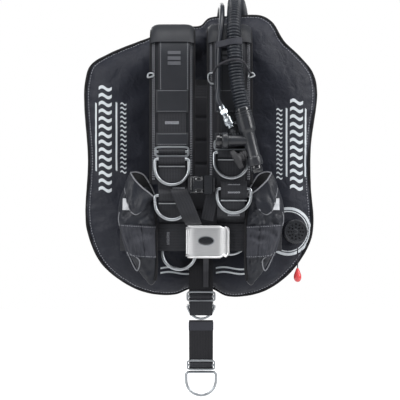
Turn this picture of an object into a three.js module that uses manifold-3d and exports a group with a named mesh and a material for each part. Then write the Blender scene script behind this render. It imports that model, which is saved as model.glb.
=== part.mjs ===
// Diving wing with a webbing harness: a buoyancy compensator vest, hanging upright.
// Millimetres. +X is the wearer's left, +Y points to the tank, +Z is up.
// The origin is the middle of the flat face of the tank pad, where the tank rests.

import * as THREE from 'three';
import { mergeVertices } from 'three/addons/utils/BufferGeometryUtils.js';
import Module from 'manifold-3d';

const wasm = await Module();
wasm.setup();

// ---------------------------------------------------------------- driving dimensions

const GAP = 0.3;                 // clearance between pieces that touch

// wing
const WING_HALF_WIDTH = 218;     // at the upper lobes
const WING_TOP = 272;            // crest over the left shoulder
const WING_BOTTOM = -256;        // lowest point of the lobes
const FABRIC = 2;                // thickness of a wing panel
const LOBE_RISE = 18;            // how far a lobe stands proud of the middle, each way
const BINDING = 4;               // width of the edge binding
const SEAM_HALF = 2.3;           // half thickness of the wing at its middle and edge
const FLAT_SHARE = 0.4;          // share of the wing that is flat round its spine

// tank side
const TANK_PAD = { width: 80, height: 160, thick: 6 };
const TANK_RADIUS = 92.5;
const BAND = { width: 50, thick: 2.5, height: 115, slotHalf: 45 };
const CAM = { width: 74, thick: 5, lever: 5 };

// plate and back pad
const PLATE = { width: 136, top: 152, bottom: -152, thick: 3, corner: 24 };
const BACK_PAD = { width: 150, top: 118, bottom: -92, thick: 14 };

// webbing and pads
const WEB_WIDTH = 50;
const WEB = 2.5;                 // webbing thickness
const PAD_X = 51.5;              // centre line of each shoulder pad
const RIGHT_WEB_X = -52;         // centre line of the webbing on each pad
const LEFT_WEB_X = 53.5;
const PAD_WIDTH = 80;
const PAD = 9;                   // shoulder pad thickness
const PAD_FRONT = -95;           // centre line of the pad down the chest
const PAD_TOP = 234;
const PAD_END = -48;

// rings and slides
const WIRE = 2.8;                // radius of the D-ring wire
const RING_HALF = 30.2;          // half width of a D-ring on the wire's centre line
const SLIDE = { width: 62, height: 20, thick: 2.4, bar: 5 };
const RIGHT_RING_TOP = -3;       // bar of the upper ring on the wearer's right
const LEFT_RING_TOP = 9;
const RIGHT_LOW_RING_TOP = -68;
const LEFT_LOW_RING_TOP = -56;

// waist
const BELT_Y = -72;              // centre line of the belt across the front
const BELT_Z = -144;
const BELT = 3;
const BUCKLE = { width: 80, height: 59, x: 11.5, plate: 2 };

// pockets
const POCKET = { wall: 2.2, depth: 27 };

// crotch strap
const CROTCH_WIDTH = 45;
const CROTCH_Y = -38;
const CROTCH_RING_TOP = -272;
const TAIL_LENGTH = 94;

// inflator
const INFLATOR_Y = -122;
const HOSE_RADIUS = 13;
const LP_RADIUS = 4.75;
const VALVE = { x: 176, z: -135, neck: 16.5, cap: 22.5 };
const ELBOW = { x: 82, y: 25, z: 178, height: 30, radius: 14, neck: 12 };

// where the layers lie, back to front
const WING_MID = -TANK_PAD.thick - GAP - SEAM_HALF;
const PLATE_BACK = WING_MID - SEAM_HALF - GAP;
const PLATE_FRONT = PLATE_BACK - PLATE.thick;
const BAND_MID = PLATE_FRONT - GAP - BAND.thick / 2;
const BACK_PAD_BACK = BAND_MID - BAND.thick / 2 - GAP;
const WEB_OFFSET = PAD / 2 + GAP + WEB / 2;
const WEB_FRONT = PAD_FRONT - WEB_OFFSET - WEB / 2;
const RING_Y = WEB_FRONT - GAP - WIRE;
const SLIDE_BACK = WEB_FRONT - GAP;

// ---------------------------------------------------------------- helpers

const group = new THREE.Group();

const finishes = {
  cordura: { color: 0x24252e, roughness: 0.85, metalness: 0 },
  webbing: { color: 0x2c2d33, roughness: 0.8, metalness: 0 },
  padding: { color: 0x303138, roughness: 0.9, metalness: 0 },
  steel: { color: 0xbcbcbc, roughness: 0.28, metalness: 1 },
  rubber: { color: 0x1e2026, roughness: 0.6, metalness: 0 },
  plastic: { color: 0x1a1b1f, roughness: 0.4, metalness: 0 },
  redPlastic: { color: 0xd83840, roughness: 0.35, metalness: 0 },
};

function place(name, geometry, finish) {
  const mesh = new THREE.Mesh(geometry, new THREE.MeshStandardMaterial(finishes[finish]));
  mesh.name = name;
  group.add(mesh);
  return mesh;
}

// A closed geometry as a manifold solid, with its shared vertices merged.
function solid(geometry) {
  const bare = geometry.clone();
  for (const name of Object.keys(bare.attributes)) {
    if (name !== 'position') bare.deleteAttribute(name);
  }
  const merged = mergeVertices(bare, 1e-4);
  return new wasm.Manifold(new wasm.Mesh({
    numProp: 3,
    vertProperties: new Float32Array(merged.attributes.position.array),
    triVerts: new Uint32Array(merged.index.array),
  }));
}

function geometryOf(manifold) {
  const mesh = manifold.getMesh();
  const geometry = new THREE.BufferGeometry();
  geometry.setAttribute('position', new THREE.BufferAttribute(mesh.vertProperties, 3));
  geometry.setIndex(new THREE.BufferAttribute(mesh.triVerts, 1));
  geometry.computeVertexNormals();
  return geometry;
}

function join(...geometries) {
  return geometryOf(geometries.map(solid).reduce((a, b) => a.add(b)));
}

function cut(geometry, ...tools) {
  return geometryOf(tools.map(solid).reduce((a, b) => a.subtract(b), solid(geometry)));
}

// Points on both sides of an open line, as the outline of a strip of even thickness.
function stripShape(line, thick) {
  const near = [];
  const far = [];
  line.forEach((p, i) => {
    const a = line[Math.max(i - 1, 0)];
    const b = line[Math.min(i + 1, line.length - 1)];
    const normal = new THREE.Vector2(a.y - b.y, b.x - a.x).normalize().multiplyScalar(thick / 2);
    near.push(p.clone().add(normal));
    far.push(p.clone().sub(normal));
  });
  return new THREE.Shape([...near, ...far.reverse()]);
}

// A closed line widened into a flat ring: its outer edge and its inner edge, by distances outwards.
function ringShape(line, outer, inner) {
  const count = line.length;
  const outwardSign = THREE.ShapeUtils.isClockWise(line) ? 1 : -1;
  const moved = (distance) => line.map((p, i) => {
    const a = line[(i + count - 1) % count];
    const b = line[(i + 1) % count];
    const normal = new THREE.Vector2(a.y - b.y, b.x - a.x).normalize();
    return p.clone().add(normal.multiplyScalar(outwardSign * distance));
  });
  const turned = (points, clockwise) => (
    THREE.ShapeUtils.isClockWise(points) === clockwise ? points : points.reverse());
  const shape = new THREE.Shape(turned(moved(outer), false));
  shape.holes.push(new THREE.Path(turned(moved(inner), true)));
  return shape;
}

function smooth(points, count) {
  const line = new THREE.SplineCurve(points.map(([u, v]) => new THREE.Vector2(u, v)));
  return line.getSpacedPoints(count);
}

// The same line, moved sideways by a distance (positive is to its left).
function offsetLine(line, distance) {
  return line.map((p, i) => {
    const a = line[Math.max(i - 1, 0)];
    const b = line[Math.min(i + 1, line.length - 1)];
    const normal = new THREE.Vector2(a.y - b.y, b.x - a.x).normalize();
    return p.clone().add(normal.multiplyScalar(distance));
  });
}

// Extrudes a shape drawn in (y, z) across X, centred on x.
function acrossX(shape, width, x) {
  const geometry = new THREE.ExtrudeGeometry(shape, { depth: width, bevelEnabled: false });
  geometry.applyMatrix4(new THREE.Matrix4().makeBasis(
    new THREE.Vector3(0, 1, 0), new THREE.Vector3(0, 0, 1), new THREE.Vector3(1, 0, 0)));
  return geometry.translate(x - width / 2, 0, 0);
}

// Extrudes a shape drawn in (x, z) forwards, from y = back to y = back - thick.
function forwards(shape, thick, back) {
  const geometry = new THREE.ExtrudeGeometry(shape, { depth: thick, bevelEnabled: false });
  geometry.applyMatrix4(new THREE.Matrix4().makeBasis(
    new THREE.Vector3(1, 0, 0), new THREE.Vector3(0, 0, 1), new THREE.Vector3(0, -1, 0)));
  return geometry.translate(0, back, 0);
}

// Extrudes a shape drawn in (x, y) upwards, centred on z.
function upwards(shape, height, z) {
  const geometry = new THREE.ExtrudeGeometry(shape, { depth: height, bevelEnabled: false });
  return geometry.translate(0, 0, z - height / 2);
}

function roundedRect(width, low, high, radius, x = 0) {
  const shape = new THREE.Shape();
  const left = x - width / 2;
  const right = x + width / 2;
  shape.moveTo(left + radius, low);
  shape.lineTo(right - radius, low);
  shape.absarc(right - radius, low + radius, radius, -Math.PI / 2, 0, false);
  shape.absarc(right - radius, high - radius, radius, 0, Math.PI / 2, false);
  shape.absarc(left + radius, high - radius, radius, Math.PI / 2, Math.PI, false);
  shape.absarc(left + radius, low + radius, radius, Math.PI, 1.5 * Math.PI, false);
  return new THREE.Shape(shape.getPoints(2));
}

function box(x0, x1, y0, y1, z0, z1) {
  const geometry = new THREE.BoxGeometry(x1 - x0, y1 - y0, z1 - z0);
  return geometry.translate((x0 + x1) / 2, (y0 + y1) / 2, (z0 + z1) / 2);
}

// A cylinder from one point to another.
function rod(from, to, radius, sides = 20, endRadius = radius) {
  const axis = to.clone().sub(from);
  const geometry = new THREE.CylinderGeometry(endRadius, radius, axis.length(), sides);
  const turn = new THREE.Quaternion().setFromUnitVectors(new THREE.Vector3(0, 1, 0),
    axis.clone().normalize());
  geometry.applyQuaternion(turn);
  const middle = from.clone().add(to).multiplyScalar(0.5);
  return geometry.translate(middle.x, middle.y, middle.z);
}

const vec = (x, y, z) => new THREE.Vector3(x, y, z);

// A tube of even radius along a curve.
function tube(curve, radius, steps, sides) {
  const ring = Array.from({ length: sides }, (_, i) => new THREE.Vector2(
    radius * Math.cos(2 * Math.PI * i / sides), radius * Math.sin(2 * Math.PI * i / sides)));
  return new THREE.ExtrudeGeometry(new THREE.Shape(ring),
    { steps, extrudePath: curve, bevelEnabled: false });
}

// ---------------------------------------------------------------- wing

// Half outline heights are shares of the top and bottom, widths are shares of the half width.
function wingOutline() {
  const w = WING_HALF_WIDTH;
  const t = WING_TOP;
  const b = WING_BOTTOM;
  const points = [
    [-0.09 * w, 0.945 * b], [-0.23 * w, 0.988 * b], [-0.46 * w, 0.977 * b], [-0.665 * w, 0.902 * b],
    [-0.87 * w, 0.75 * b], [-0.98 * w, 0.527 * b], [-0.995 * w, 0.39 * b], [-0.973 * w, 0],
    [-1.005 * w, 0.386 * t], [-w, 0.533 * t], [-0.954 * w, 0.654 * t], [-0.794 * w, 0.735 * t],
    [-0.422 * w, 0.853 * t], [-0.206 * w, 0.919 * t], [0, 0.93 * t], [0.075 * w, 0.982 * t],
    [0.275 * w, 0.995 * t], [0.514 * w, t], [0.61 * w, 0.958 * t], [0.716 * w, 0.824 * t],
    [0.849 * w, 0.72 * t], [0.963 * w, 0.607 * t], [w, 0.478 * t], [0.945 * w, 0.092 * t],
    [0.945 * w, 0.195 * b], [0.968 * w, 0.461 * b], [0.94 * w, 0.605 * b], [0.789 * w, 0.812 * b],
    [0.6 * w, 0.941 * b], [0.436 * w, 0.992 * b], [0.23 * w, b], [0.09 * w, 0.945 * b],
  ];
  const corners = points.map(([x, z]) => vec(x, 0, z));
  const curve = new THREE.CatmullRomCurve3(corners, true, 'centripetal');
  return curve.getPoints(48).slice(0, 48);
}

const outline = wingOutline();
const SPINE_SHARE = 0.6;         // how far up and down the spine of the wing reaches

// The point of the wing at a share s of the way from its spine (0) to its edge (1).
function wingPoint(edge, s, y) {
  return vec(edge.x * s, y, edge.z * (SPINE_SHARE + (1 - SPINE_SHARE) * s));
}

// Half thickness of the wing at share s: flat at its middle, one arch across each lobe.
function halfThickness(s) {
  const u = Math.min(Math.max((1 - s) / (1 - FLAT_SHARE), 0), 1);
  return SEAM_HALF + LOBE_RISE * Math.sin(Math.PI * u) ** 0.8;
}

// Closes a stack of rings into one solid: side walls between rings, a cap at each end.
function closeRings(rings) {
  const count = rings[0].length;
  const positions = rings.flat().flatMap((p) => [p.x, p.y, p.z]);
  const index = [];
  for (let r = 0; r < rings.length - 1; r += 1) {
    for (let i = 0; i < count; i += 1) {
      const j = (i + 1) % count;
      const a = r * count;
      const b = a + count;
      index.push(a + i, a + j, b + j, a + i, b + j, b + i);
    }
  }
  const cap = (ring, base, against) => {
    const flat = ring.map((p) => new THREE.Vector2(p.x, p.z));
    for (const [a, b, c] of THREE.ShapeUtils.triangulateShape(flat, [])) {
      const sameTurn = THREE.ShapeUtils.isClockWise([flat[a], flat[b], flat[c]])
        === THREE.ShapeUtils.isClockWise(flat);
      const [second, third] = sameTurn === against ? [c, b] : [b, c];
      index.push(base + a, base + second, base + third);
    }
  };
  cap(rings[0], 0, true);
  cap(rings.at(-1), (rings.length - 1) * count, false);
  const geometry = new THREE.BufferGeometry();
  geometry.setAttribute('position', new THREE.Float32BufferAttribute(positions, 3));
  geometry.setIndex(index);
  return outwards(geometry);
}

// Turns a closed geometry so that its volume is positive.
function outwards(geometry) {
  const p = geometry.attributes.position;
  const index = geometry.index.array;
  let volume = 0;
  const [a, b, c] = [new THREE.Vector3(), new THREE.Vector3(), new THREE.Vector3()];
  for (let i = 0; i < index.length; i += 3) {
    a.fromBufferAttribute(p, index[i]);
    b.fromBufferAttribute(p, index[i + 1]);
    c.fromBufferAttribute(p, index[i + 2]);
    volume += a.dot(b.cross(c));
  }
  if (volume < 0) index.reverse();
  geometry.computeVertexNormals();
  return geometry;
}

const shares = [1, 0.955, 0.88, 0.78, 0.66, 0.54, 0.46, FLAT_SHARE];

// One face of the wing, a domed sheet: side is -1 for the front and +1 for the back.
function wingPanel(side) {
  const ring = (s, height) => outline.map((p) => wingPoint(p, s, WING_MID + side * height));
  const inner = shares.map((s) => ring(s, halfThickness(s) - FABRIC));
  const outer = shares.map((s) => ring(s, halfThickness(s)));
  return closeRings([...inner.reverse(), ...outer]);
}

// The air cell: a horseshoe-shaped ring that fills both lobes under the panels.
function wingBladder() {
  const cell = [0.93, 0.86, 0.76, 0.66, 0.56, 0.49];
  const clear = FABRIC + GAP + 1;
  const ring = (s, side) => outline.map((p) =>
    wingPoint(p, s, WING_MID + side * Math.max(halfThickness(s) - clear, 0.5)));
  const rings = [...cell.map((s) => ring(s, 1)), ...cell.toReversed().map((s) => ring(s, -1))];
  const count = outline.length;
  const positions = rings.flat().flatMap((p) => [p.x, p.y, p.z]);
  const index = [];
  rings.forEach((_, r) => {
    const a = r * count;
    const b = ((r + 1) % rings.length) * count;
    for (let i = 0; i < count; i += 1) {
      const j = (i + 1) % count;
      index.push(a + i, a + j, b + j, a + i, b + j, b + i);
    }
  });
  const geometry = new THREE.BufferGeometry();
  geometry.setAttribute('position', new THREE.Float32BufferAttribute(positions, 3));
  geometry.setIndex(index);
  return outwards(geometry);
}

// The woven binding that is sewn round the edge of both panels.
function wingBinding() {
  const line = outline.map((p) => new THREE.Vector2(p.x, p.z));
  const shape = ringShape(line, GAP + BINDING, GAP);
  return forwards(shape, 2 * SEAM_HALF, WING_MID + SEAM_HALF);
}

// The four tall slots through the wing and the plate that the tank bands run in.
function bandSlots(clear) {
  const slots = [];
  for (const x of [-1, 1]) {
    for (const z of [-1, 1]) {
      const half = BAND.width / 2 + clear;
      slots.push(box(x * BAND.slotHalf - 5, x * BAND.slotHalf + 5, -40, 10,
        z * BAND.height - half, z * BAND.height + half));
    }
  }
  return slots;
}

const neckHole = () => rod(vec(ELBOW.x, -10, ELBOW.z + ELBOW.height / 2),
  vec(ELBOW.x, 40, ELBOW.z + ELBOW.height / 2), ELBOW.neck + GAP, 20);
const valveHole = () => rod(vec(VALVE.x, -8, VALVE.z), vec(VALVE.x, -60, VALVE.z),
  VALVE.neck + GAP, 20);

function addWing() {
  place('wing_front_panel', cut(wingPanel(-1), ...bandSlots(1), valveHole()), 'cordura');
  place('wing_back_panel', cut(wingPanel(1), ...bandSlots(1), neckHole()), 'cordura');
  place('wing_bladder', cut(wingBladder(), valveHole(), neckHole()), 'rubber');
  place('wing_edge_binding', wingBinding(), 'webbing');
}

// ---------------------------------------------------------------- tank side

// A tank band: round the tank, in through the wing and plate, across the front of the plate.
function tankBand(z) {
  const centre = TANK_RADIUS + BAND.thick / 2 + 0.7;
  const x = BAND.slotHalf;
  const around = [];
  const start = Math.asin((x + 2) / centre);
  for (let k = 0; k <= 20; k += 1) {
    const angle = start + (2 * Math.PI - 2 * start) * (k / 20);
    around.push(new THREE.Vector2(centre * Math.sin(angle),
      TANK_RADIUS + 1 - centre * Math.cos(angle)));
  }
  const front = [[-x, WING_MID], [-x + 2, BAND_MID + 2.5], [-x + 5, BAND_MID],
    [x - 5, BAND_MID], [x - 2, BAND_MID + 2.5], [x, WING_MID]];
  const line = [...around, ...front.map(([u, v]) => new THREE.Vector2(u, v))];
  const shape = ringShape(line, BAND.thick / 2, -BAND.thick / 2);
  return upwards(shape, BAND.width, z);
}

// The cam buckle on the far side of the band: a base with two ears and a lever between them.
function camBuckle(name, z) {
  const back = TANK_RADIUS + 1 + TANK_RADIUS + BAND.thick + 0.7 + GAP;
  const half = CAM.width / 2;
  const pivotY = back + CAM.thick + GAP + CAM.lever / 2;
  const pivotX = -half + 6;
  const high = BAND.width / 2;
  const ears = [-1, 1].map((s) => box(-half, -half + 12, back + CAM.thick - 1,
    pivotY + CAM.lever / 2, z + s * (high + 2.5) - 2.5, z + s * (high + 2.5) + 2.5));
  const base = box(-half, half, back, back + CAM.thick, z - high - 5, z + high + 5);
  place(`${name}_tank_buckle`, join(base, ...ears), 'plastic');
  const knuckle = rod(vec(pivotX, pivotY, z - high + GAP), vec(pivotX, pivotY, z + high - GAP),
    CAM.lever / 2, 16);
  const blade = box(pivotX, half - 4, pivotY - CAM.lever / 2 + 0.2, pivotY + CAM.lever / 2 - 0.2,
    z - high + 3, z + high - 3);
  place(`${name}_buckle_lever`, join(knuckle, blade), 'plastic');
}

function addTankSide() {
  place('tank_pad', box(-TANK_PAD.width / 2, TANK_PAD.width / 2, -TANK_PAD.thick, 0,
    -TANK_PAD.height / 2, TANK_PAD.height / 2), 'rubber');
  place('upper_tank_band', tankBand(BAND.height), 'webbing');
  place('lower_tank_band', tankBand(-BAND.height), 'webbing');
  camBuckle('upper', BAND.height);
  camBuckle('lower', -BAND.height);
}

// ---------------------------------------------------------------- plate and back pad

function addPlate() {
  const plate = forwards(roundedRect(PLATE.width, PLATE.bottom, PLATE.top, PLATE.corner),
    PLATE.thick, PLATE_BACK);
  place('backplate', cut(plate, ...bandSlots(1)), 'steel');
  const pad = forwards(roundedRect(BACK_PAD.width, BACK_PAD.bottom, BACK_PAD.top, 24),
    BACK_PAD.thick, BACK_PAD_BACK);
  place('back_pad', pad, 'padding');
}

// ---------------------------------------------------------------- rings and slides

// A D-ring that hangs from its straight bar at height z: straight sides, round bottom.
function ring(x, y, z, drop, half = RING_HALF, wire = WIRE) {
  const straight = Math.max(drop - half, 0);
  const round = Math.min(drop, half);
  const points = [vec(x + half, y, z)];
  for (let k = 0; k <= 8; k += 1) {
    const angle = Math.PI * k / 8;
    points.push(vec(x + half * Math.cos(angle), y, z - straight - 0.01 - round * Math.sin(angle)));
  }
  points.push(vec(x - half, y, z));
  const bow = tube(new THREE.CatmullRomCurve3(points, false, 'centripetal'), wire, 16, 7);
  const bar = rod(vec(x - half - wire, y, z), vec(x + half + wire, y, z), wire, 8);
  return join(bow, bar);
}

// A three-bar slide lying on the webbing: a plate with two slots.
function slide(x, back, z, width = SLIDE.width) {
  const low = z - SLIDE.height / 2;
  const high = z + SLIDE.height / 2;
  const shape = roundedRect(width, low, high, 3, x);
  const slot = (SLIDE.height - 3 * SLIDE.bar) / 2 + 2;
  for (const s of [-1, 1]) {
    const middle = z + s * (slot / 2 + SLIDE.bar / 2 - 0.5);
    const hole = roundedRect(width - 2 * SLIDE.bar, middle - slot / 2, middle + slot / 2, 1.2, x);
    shape.holes.push(new THREE.Path(hole.getPoints().reverse()));
  }
  return forwards(shape, SLIDE.thick, back);
}

// ---------------------------------------------------------------- shoulders

const padLine = smooth([
  [-37, 165], [-39, 192], [-47, 217], [-63, PAD_TOP], [-82, 223],
  [PAD_FRONT, 190], [PAD_FRONT, 150], [PAD_FRONT, 80], [PAD_FRONT, 0], [PAD_FRONT, PAD_END],
], 26);

// The webbing leaves the plate, follows the outside of the pad and tucks behind the belt.
function shoulderWebbing(x, end) {
  const plateY = PLATE_FRONT - GAP - WEB / 2;
  const outer = offsetLine(padLine, -WEB_OFFSET);
  const high = smooth([[plateY, 142], [plateY - 2, 149], [-25, 158], [outer[0].x, outer[0].y]], 6);
  const front = PAD_FRONT - WEB_OFFSET;
  const behindBelt = BELT_Y + BELT / 2 + 2 * GAP + WEB / 2;
  const low = smooth([[front, PAD_END], [front, -70], [front, -84], [front + 1.5, -94],
    [-90, -105], [-75, -111.5], [behindBelt, -117.5], [behindBelt, -121], [behindBelt, end]], 18);
  return acrossX(stripShape([...high.slice(0, -1), ...outer, ...low.slice(1)], WEB), WEB_WIDTH, x);
}

function addShoulder(name, side, x, ringTop, lowRing, webEnd) {
  const pad = acrossX(stripShape(padLine, PAD), PAD_WIDTH, side * PAD_X);
  place(`shoulder_pad_${name}`, pad, 'padding');
  place(`shoulder_webbing_${name}`, shoulderWebbing(x, webEnd), 'webbing');
  const slideZ = ringTop + WIRE + SLIDE.height / 2 + GAP;
  place(`shoulder_slide_${name}`, slide(x, SLIDE_BACK, slideZ), 'steel');
  place(`shoulder_ring_${name}`, ring(x, RING_Y, ringTop, 46), 'steel');
  place(`chest_ring_${name}`, ring(lowRing.x, RING_Y, lowRing.top, 43), 'steel');
}

function addShoulders() {
  const lowRight = { x: RIGHT_WEB_X, top: RIGHT_LOW_RING_TOP };
  const lowLeft = { x: LEFT_WEB_X + 5, top: LEFT_LOW_RING_TOP };
  addShoulder('right', -1, RIGHT_WEB_X, RIGHT_RING_TOP, lowRight, -150);
  addShoulder('left', 1, LEFT_WEB_X, LEFT_RING_TOP, lowLeft, -126.5);
}

// ---------------------------------------------------------------- chest buckle

const CHEST = { z: -49, height: 32, half: 20, back: RING_Y - WIRE - 1, thick: 11 };

function addChestBuckle() {
  const { z, height, half, back, thick } = CHEST;
  const low = z - height / 2;
  const high = z + height / 2;
  const split = 5;
  const shell = box(-half, split, back - thick, back, low, high);
  const mouth = box(-half + 3, split + 1, back - thick + 2, back - 2, low + 3, high - 3);
  const windows = [low, high].map((edge) => {
    const inward = edge === low ? 1 : -1;
    return box(-half + 6, split - 5, back - thick - 1, back + 1,
      Math.min(edge - inward, edge + 8 * inward), Math.max(edge - inward, edge + 8 * inward));
  });
  place('chest_buckle_socket', cut(shell, mouth, ...windows), 'plastic');
  const head = box(split + GAP, half, back - thick, back, low, high);
  const prongs = [-1, 1].map((s) => box(-half + 4, split + 1, back - thick + 2.4, back - 2.4,
    z + s * 7 - 2, z + s * 7 + 2));
  const guide = box(-half + 8, split + 1, back - thick + 2.4, back - 2.4, z - 2, z + 2);
  place('chest_buckle_plug', join(head, ...prongs, guide), 'plastic');
  // the sternum strap: short webbing ends that turn round the outer bar of each half
  const tabHigh = 12.5;
  const webY = WEB_FRONT + WEB;
  const outside = -half - GAP - 1.1;
  const rightLine = [[-13, webY - 1], [outside, webY - 1], [outside, back - thick / 2]];
  place('chest_strap_right', upwards(stripShape(
    rightLine.map(([u, v]) => new THREE.Vector2(u, v)), 2), 2 * tabHigh, z), 'webbing');
  place('chest_strap_left', box(half + GAP, half + 5.2, back - thick + 3, back - 3,
    z - tabHigh, z + tabHigh), 'webbing');
}

// ---------------------------------------------------------------- diagonal straps

const DIAGONAL = { thick: 2, ahead: 4 };

// A strap that leans sideways as it runs down: its line is drawn in (y, z), lean is dx per dz.
function leaningStrap(points, width, x, z, lean) {
  const strap = acrossX(stripShape(smooth(points, 16), DIAGONAL.thick), width, x);
  const shear = new THREE.Matrix4().set(1, 0, lean, -lean * z, 0, 1, 0, 0, 0, 0, 1, 0, 0, 0, 0, 1);
  return strap.applyMatrix4(shear);
}

function addDiagonals() {
  const ahead = RING_Y - WIRE - DIAGONAL.ahead - DIAGONAL.thick / 2;
  const sewn = WEB_FRONT - GAP;
  place('diagonal_strap_right', leaningStrap([[sewn, -59], [ahead + 4, -58], [ahead, -61.5],
    [ahead, -85], [ahead + 0.7, -104], [ahead + 9, -114.5], [ahead + 20, -120]],
  29, -14, -118, -0.43), 'webbing');
  const behind = WEB_FRONT + WEB + GAP + DIAGONAL.thick / 2;
  place('diagonal_strap_left', leaningStrap([[behind, -63], [behind, -90], [behind + 1, -112]],
    23, 9, -118, 0.22), 'webbing');
}

// ---------------------------------------------------------------- waist

// One half of the belt: out from the plate, round the hip and in across the front.
function belt(side, endX) {
  const line = smooth([[side * 62, PLATE_FRONT - GAP - BELT / 2],
    [side * 78, -24], [side * 100, -38],
    [side * 132, -49], [side * 147, -60], [side * 139, -70], [side * 112, BELT_Y],
    [side * 80, BELT_Y], [endX, BELT_Y]], 24);
  return upwards(stripShape(line, BELT), WEB_WIDTH, BELT_Z);
}

function addWaist() {
  const { width, height, x, plate } = BUCKLE;
  place('waist_belt_right', belt(-1, x - 2), 'webbing');
  place('waist_belt_left', belt(1, x + 2), 'webbing');
  const back = BELT_Y - BELT / 2 - GAP;
  const low = BELT_Z - 7.5 - height / 2;
  const high = low + height;
  const pivotX = x - width / 2 + 4;
  const pivotY = back - plate - GAP - 4;
  const frame = roundedRect(width - 8, low + 3, high - 3, 4, x + 4);
  for (const [left, right] of [[x - 26, x - 14], [x + 8, x + 20]]) {
    const slot = roundedRect(right - left, low + 7, high - 7, 1.5, (left + right) / 2);
    frame.holes.push(new THREE.Path(slot.getPoints().reverse()));
  }
  const ears = [low + 3, high - 6].map((z) => box(x - width / 2 + 1, x - width / 2 + 9,
    pivotY - 3.5, back - plate + 0.5, z, z + 3));
  place('waist_buckle_base', join(forwards(frame, plate, back), ...ears), 'steel');
  // the lever: a rolled knuckle and a shallow pressed plate
  const line = smooth([[pivotX, pivotY - 1], [pivotX + 12, pivotY - 4], [x + 10, pivotY - 4.5],
    [x + 28, pivotY - 2], [x + width / 2 - 3, pivotY + 1.5], [x + width / 2, pivotY]], 14);
  const skin = upwards(stripShape(line, plate), height, (low + high) / 2);
  const knuckle = rod(vec(pivotX, pivotY, low + 6.5 + GAP),
    vec(pivotX, pivotY, high - 6.5 - GAP), 3, 12);
  const clear = [low - 1, high - 7].map((z) => box(x - width / 2 - 6, x - width / 2 + 10,
    pivotY - 4.2, back, z, z + 8));
  const badge = rod(vec(x - 2, pivotY - 4, BELT_Z - 6),
    vec(x - 2, pivotY - 6.4, BELT_Z - 6), 9, 20);
  place('waist_buckle_lever', join(cut(skin, ...clear), knuckle, badge), 'steel');
  const ringY = BELT_Y + BELT / 2 + GAP + WIRE;
  place('waist_ring_right', ring(-40, ringY, -157, 46), 'steel');
  place('waist_ring_left', ring(54, ringY, -132, 43), 'steel');
}

// ---------------------------------------------------------------- pockets

// A pocket bag on the belt, open along its slanted mouth at the top inner side.
function addPocket(name, side) {
  const back = BELT_Y - BELT / 2 - 0.5;
  const outer = [[-128, -28], [-93, -54], [-80, -80], [-79.5, -180], [-82, -222], [-90, -232],
    [-112, -207], [-133, -168], [-150, -120], [-150, -95], [-141, -60]];
  const wall = POCKET.wall;
  const inner = [[-128 + wall, -10], [-93 - wall, -30], [-93 - wall, -55], [-80 - wall, -81],
    [-79.5 - wall, -180], [-82 - wall, -221], [-90, -228], [-112 + 1.5, -203], [-133 + wall, -167],
    [-150 + wall, -120], [-150 + wall, -95], [-141 + wall, -60]];
  const corner = ([u, v]) => new THREE.Vector2(-side * u, v);
  const shape = (points) => new THREE.Shape(points.map(corner));
  const bag = forwards(shape(outer), POCKET.depth, back);
  const hollow = forwards(shape(inner), POCKET.depth - 2 * wall, back - wall);
  place(`pocket_${name}`, cut(bag, hollow), 'cordura');
}

// ---------------------------------------------------------------- crotch strap

function addCrotchStrap() {
  const end = CROTCH_RING_TOP + 2.4 + GAP;
  const line = smooth([[PLATE_FRONT - GAP - WEB / 2, -142], [PLATE_FRONT - GAP - WEB / 2 - 1, -164],
    [-28, -180], [CROTCH_Y + 2, -196], [CROTCH_Y, -222], [CROTCH_Y, end]], 16);
  place('crotch_strap', acrossX(stripShape(line, WEB), CROTCH_WIDTH, 0), 'webbing');
  const topSlideZ = end + 4 + SLIDE.height / 2;
  place('crotch_slide', slide(0, CROTCH_Y - WEB / 2 - GAP, topSlideZ, 54), 'steel');
  place('crotch_ring', ring(0, CROTCH_Y, CROTCH_RING_TOP, 25, 24.5, 2.4), 'steel');
  const tailTop = CROTCH_RING_TOP - 25 - 2.4 - GAP;
  const tail = box(-CROTCH_WIDTH / 2, CROTCH_WIDTH / 2, CROTCH_Y - WEB, CROTCH_Y + WEB,
    tailTop - TAIL_LENGTH, tailTop);
  place('crotch_tail', tail, 'webbing');
  const slideZ = tailTop - TAIL_LENGTH + SLIDE.height / 2 + 1;
  place('crotch_end_slide', slide(0, CROTCH_Y - WEB - GAP, slideZ, 54), 'steel');
  const endBar = tailTop - TAIL_LENGTH - GAP - WIRE;
  place('crotch_end_ring', ring(0, CROTCH_Y, endBar, 43, 27.5), 'steel');
}

// ---------------------------------------------------------------- inflator

const inflatorAxis = vec(0.236, 0, -0.972).normalize();
const inflatorTop = vec(73.5, INFLATOR_Y, 80);
const alongInflator = (distance) => inflatorTop.clone().addScaledVector(inflatorAxis, distance);
const BARREL_Z = 29;

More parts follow.
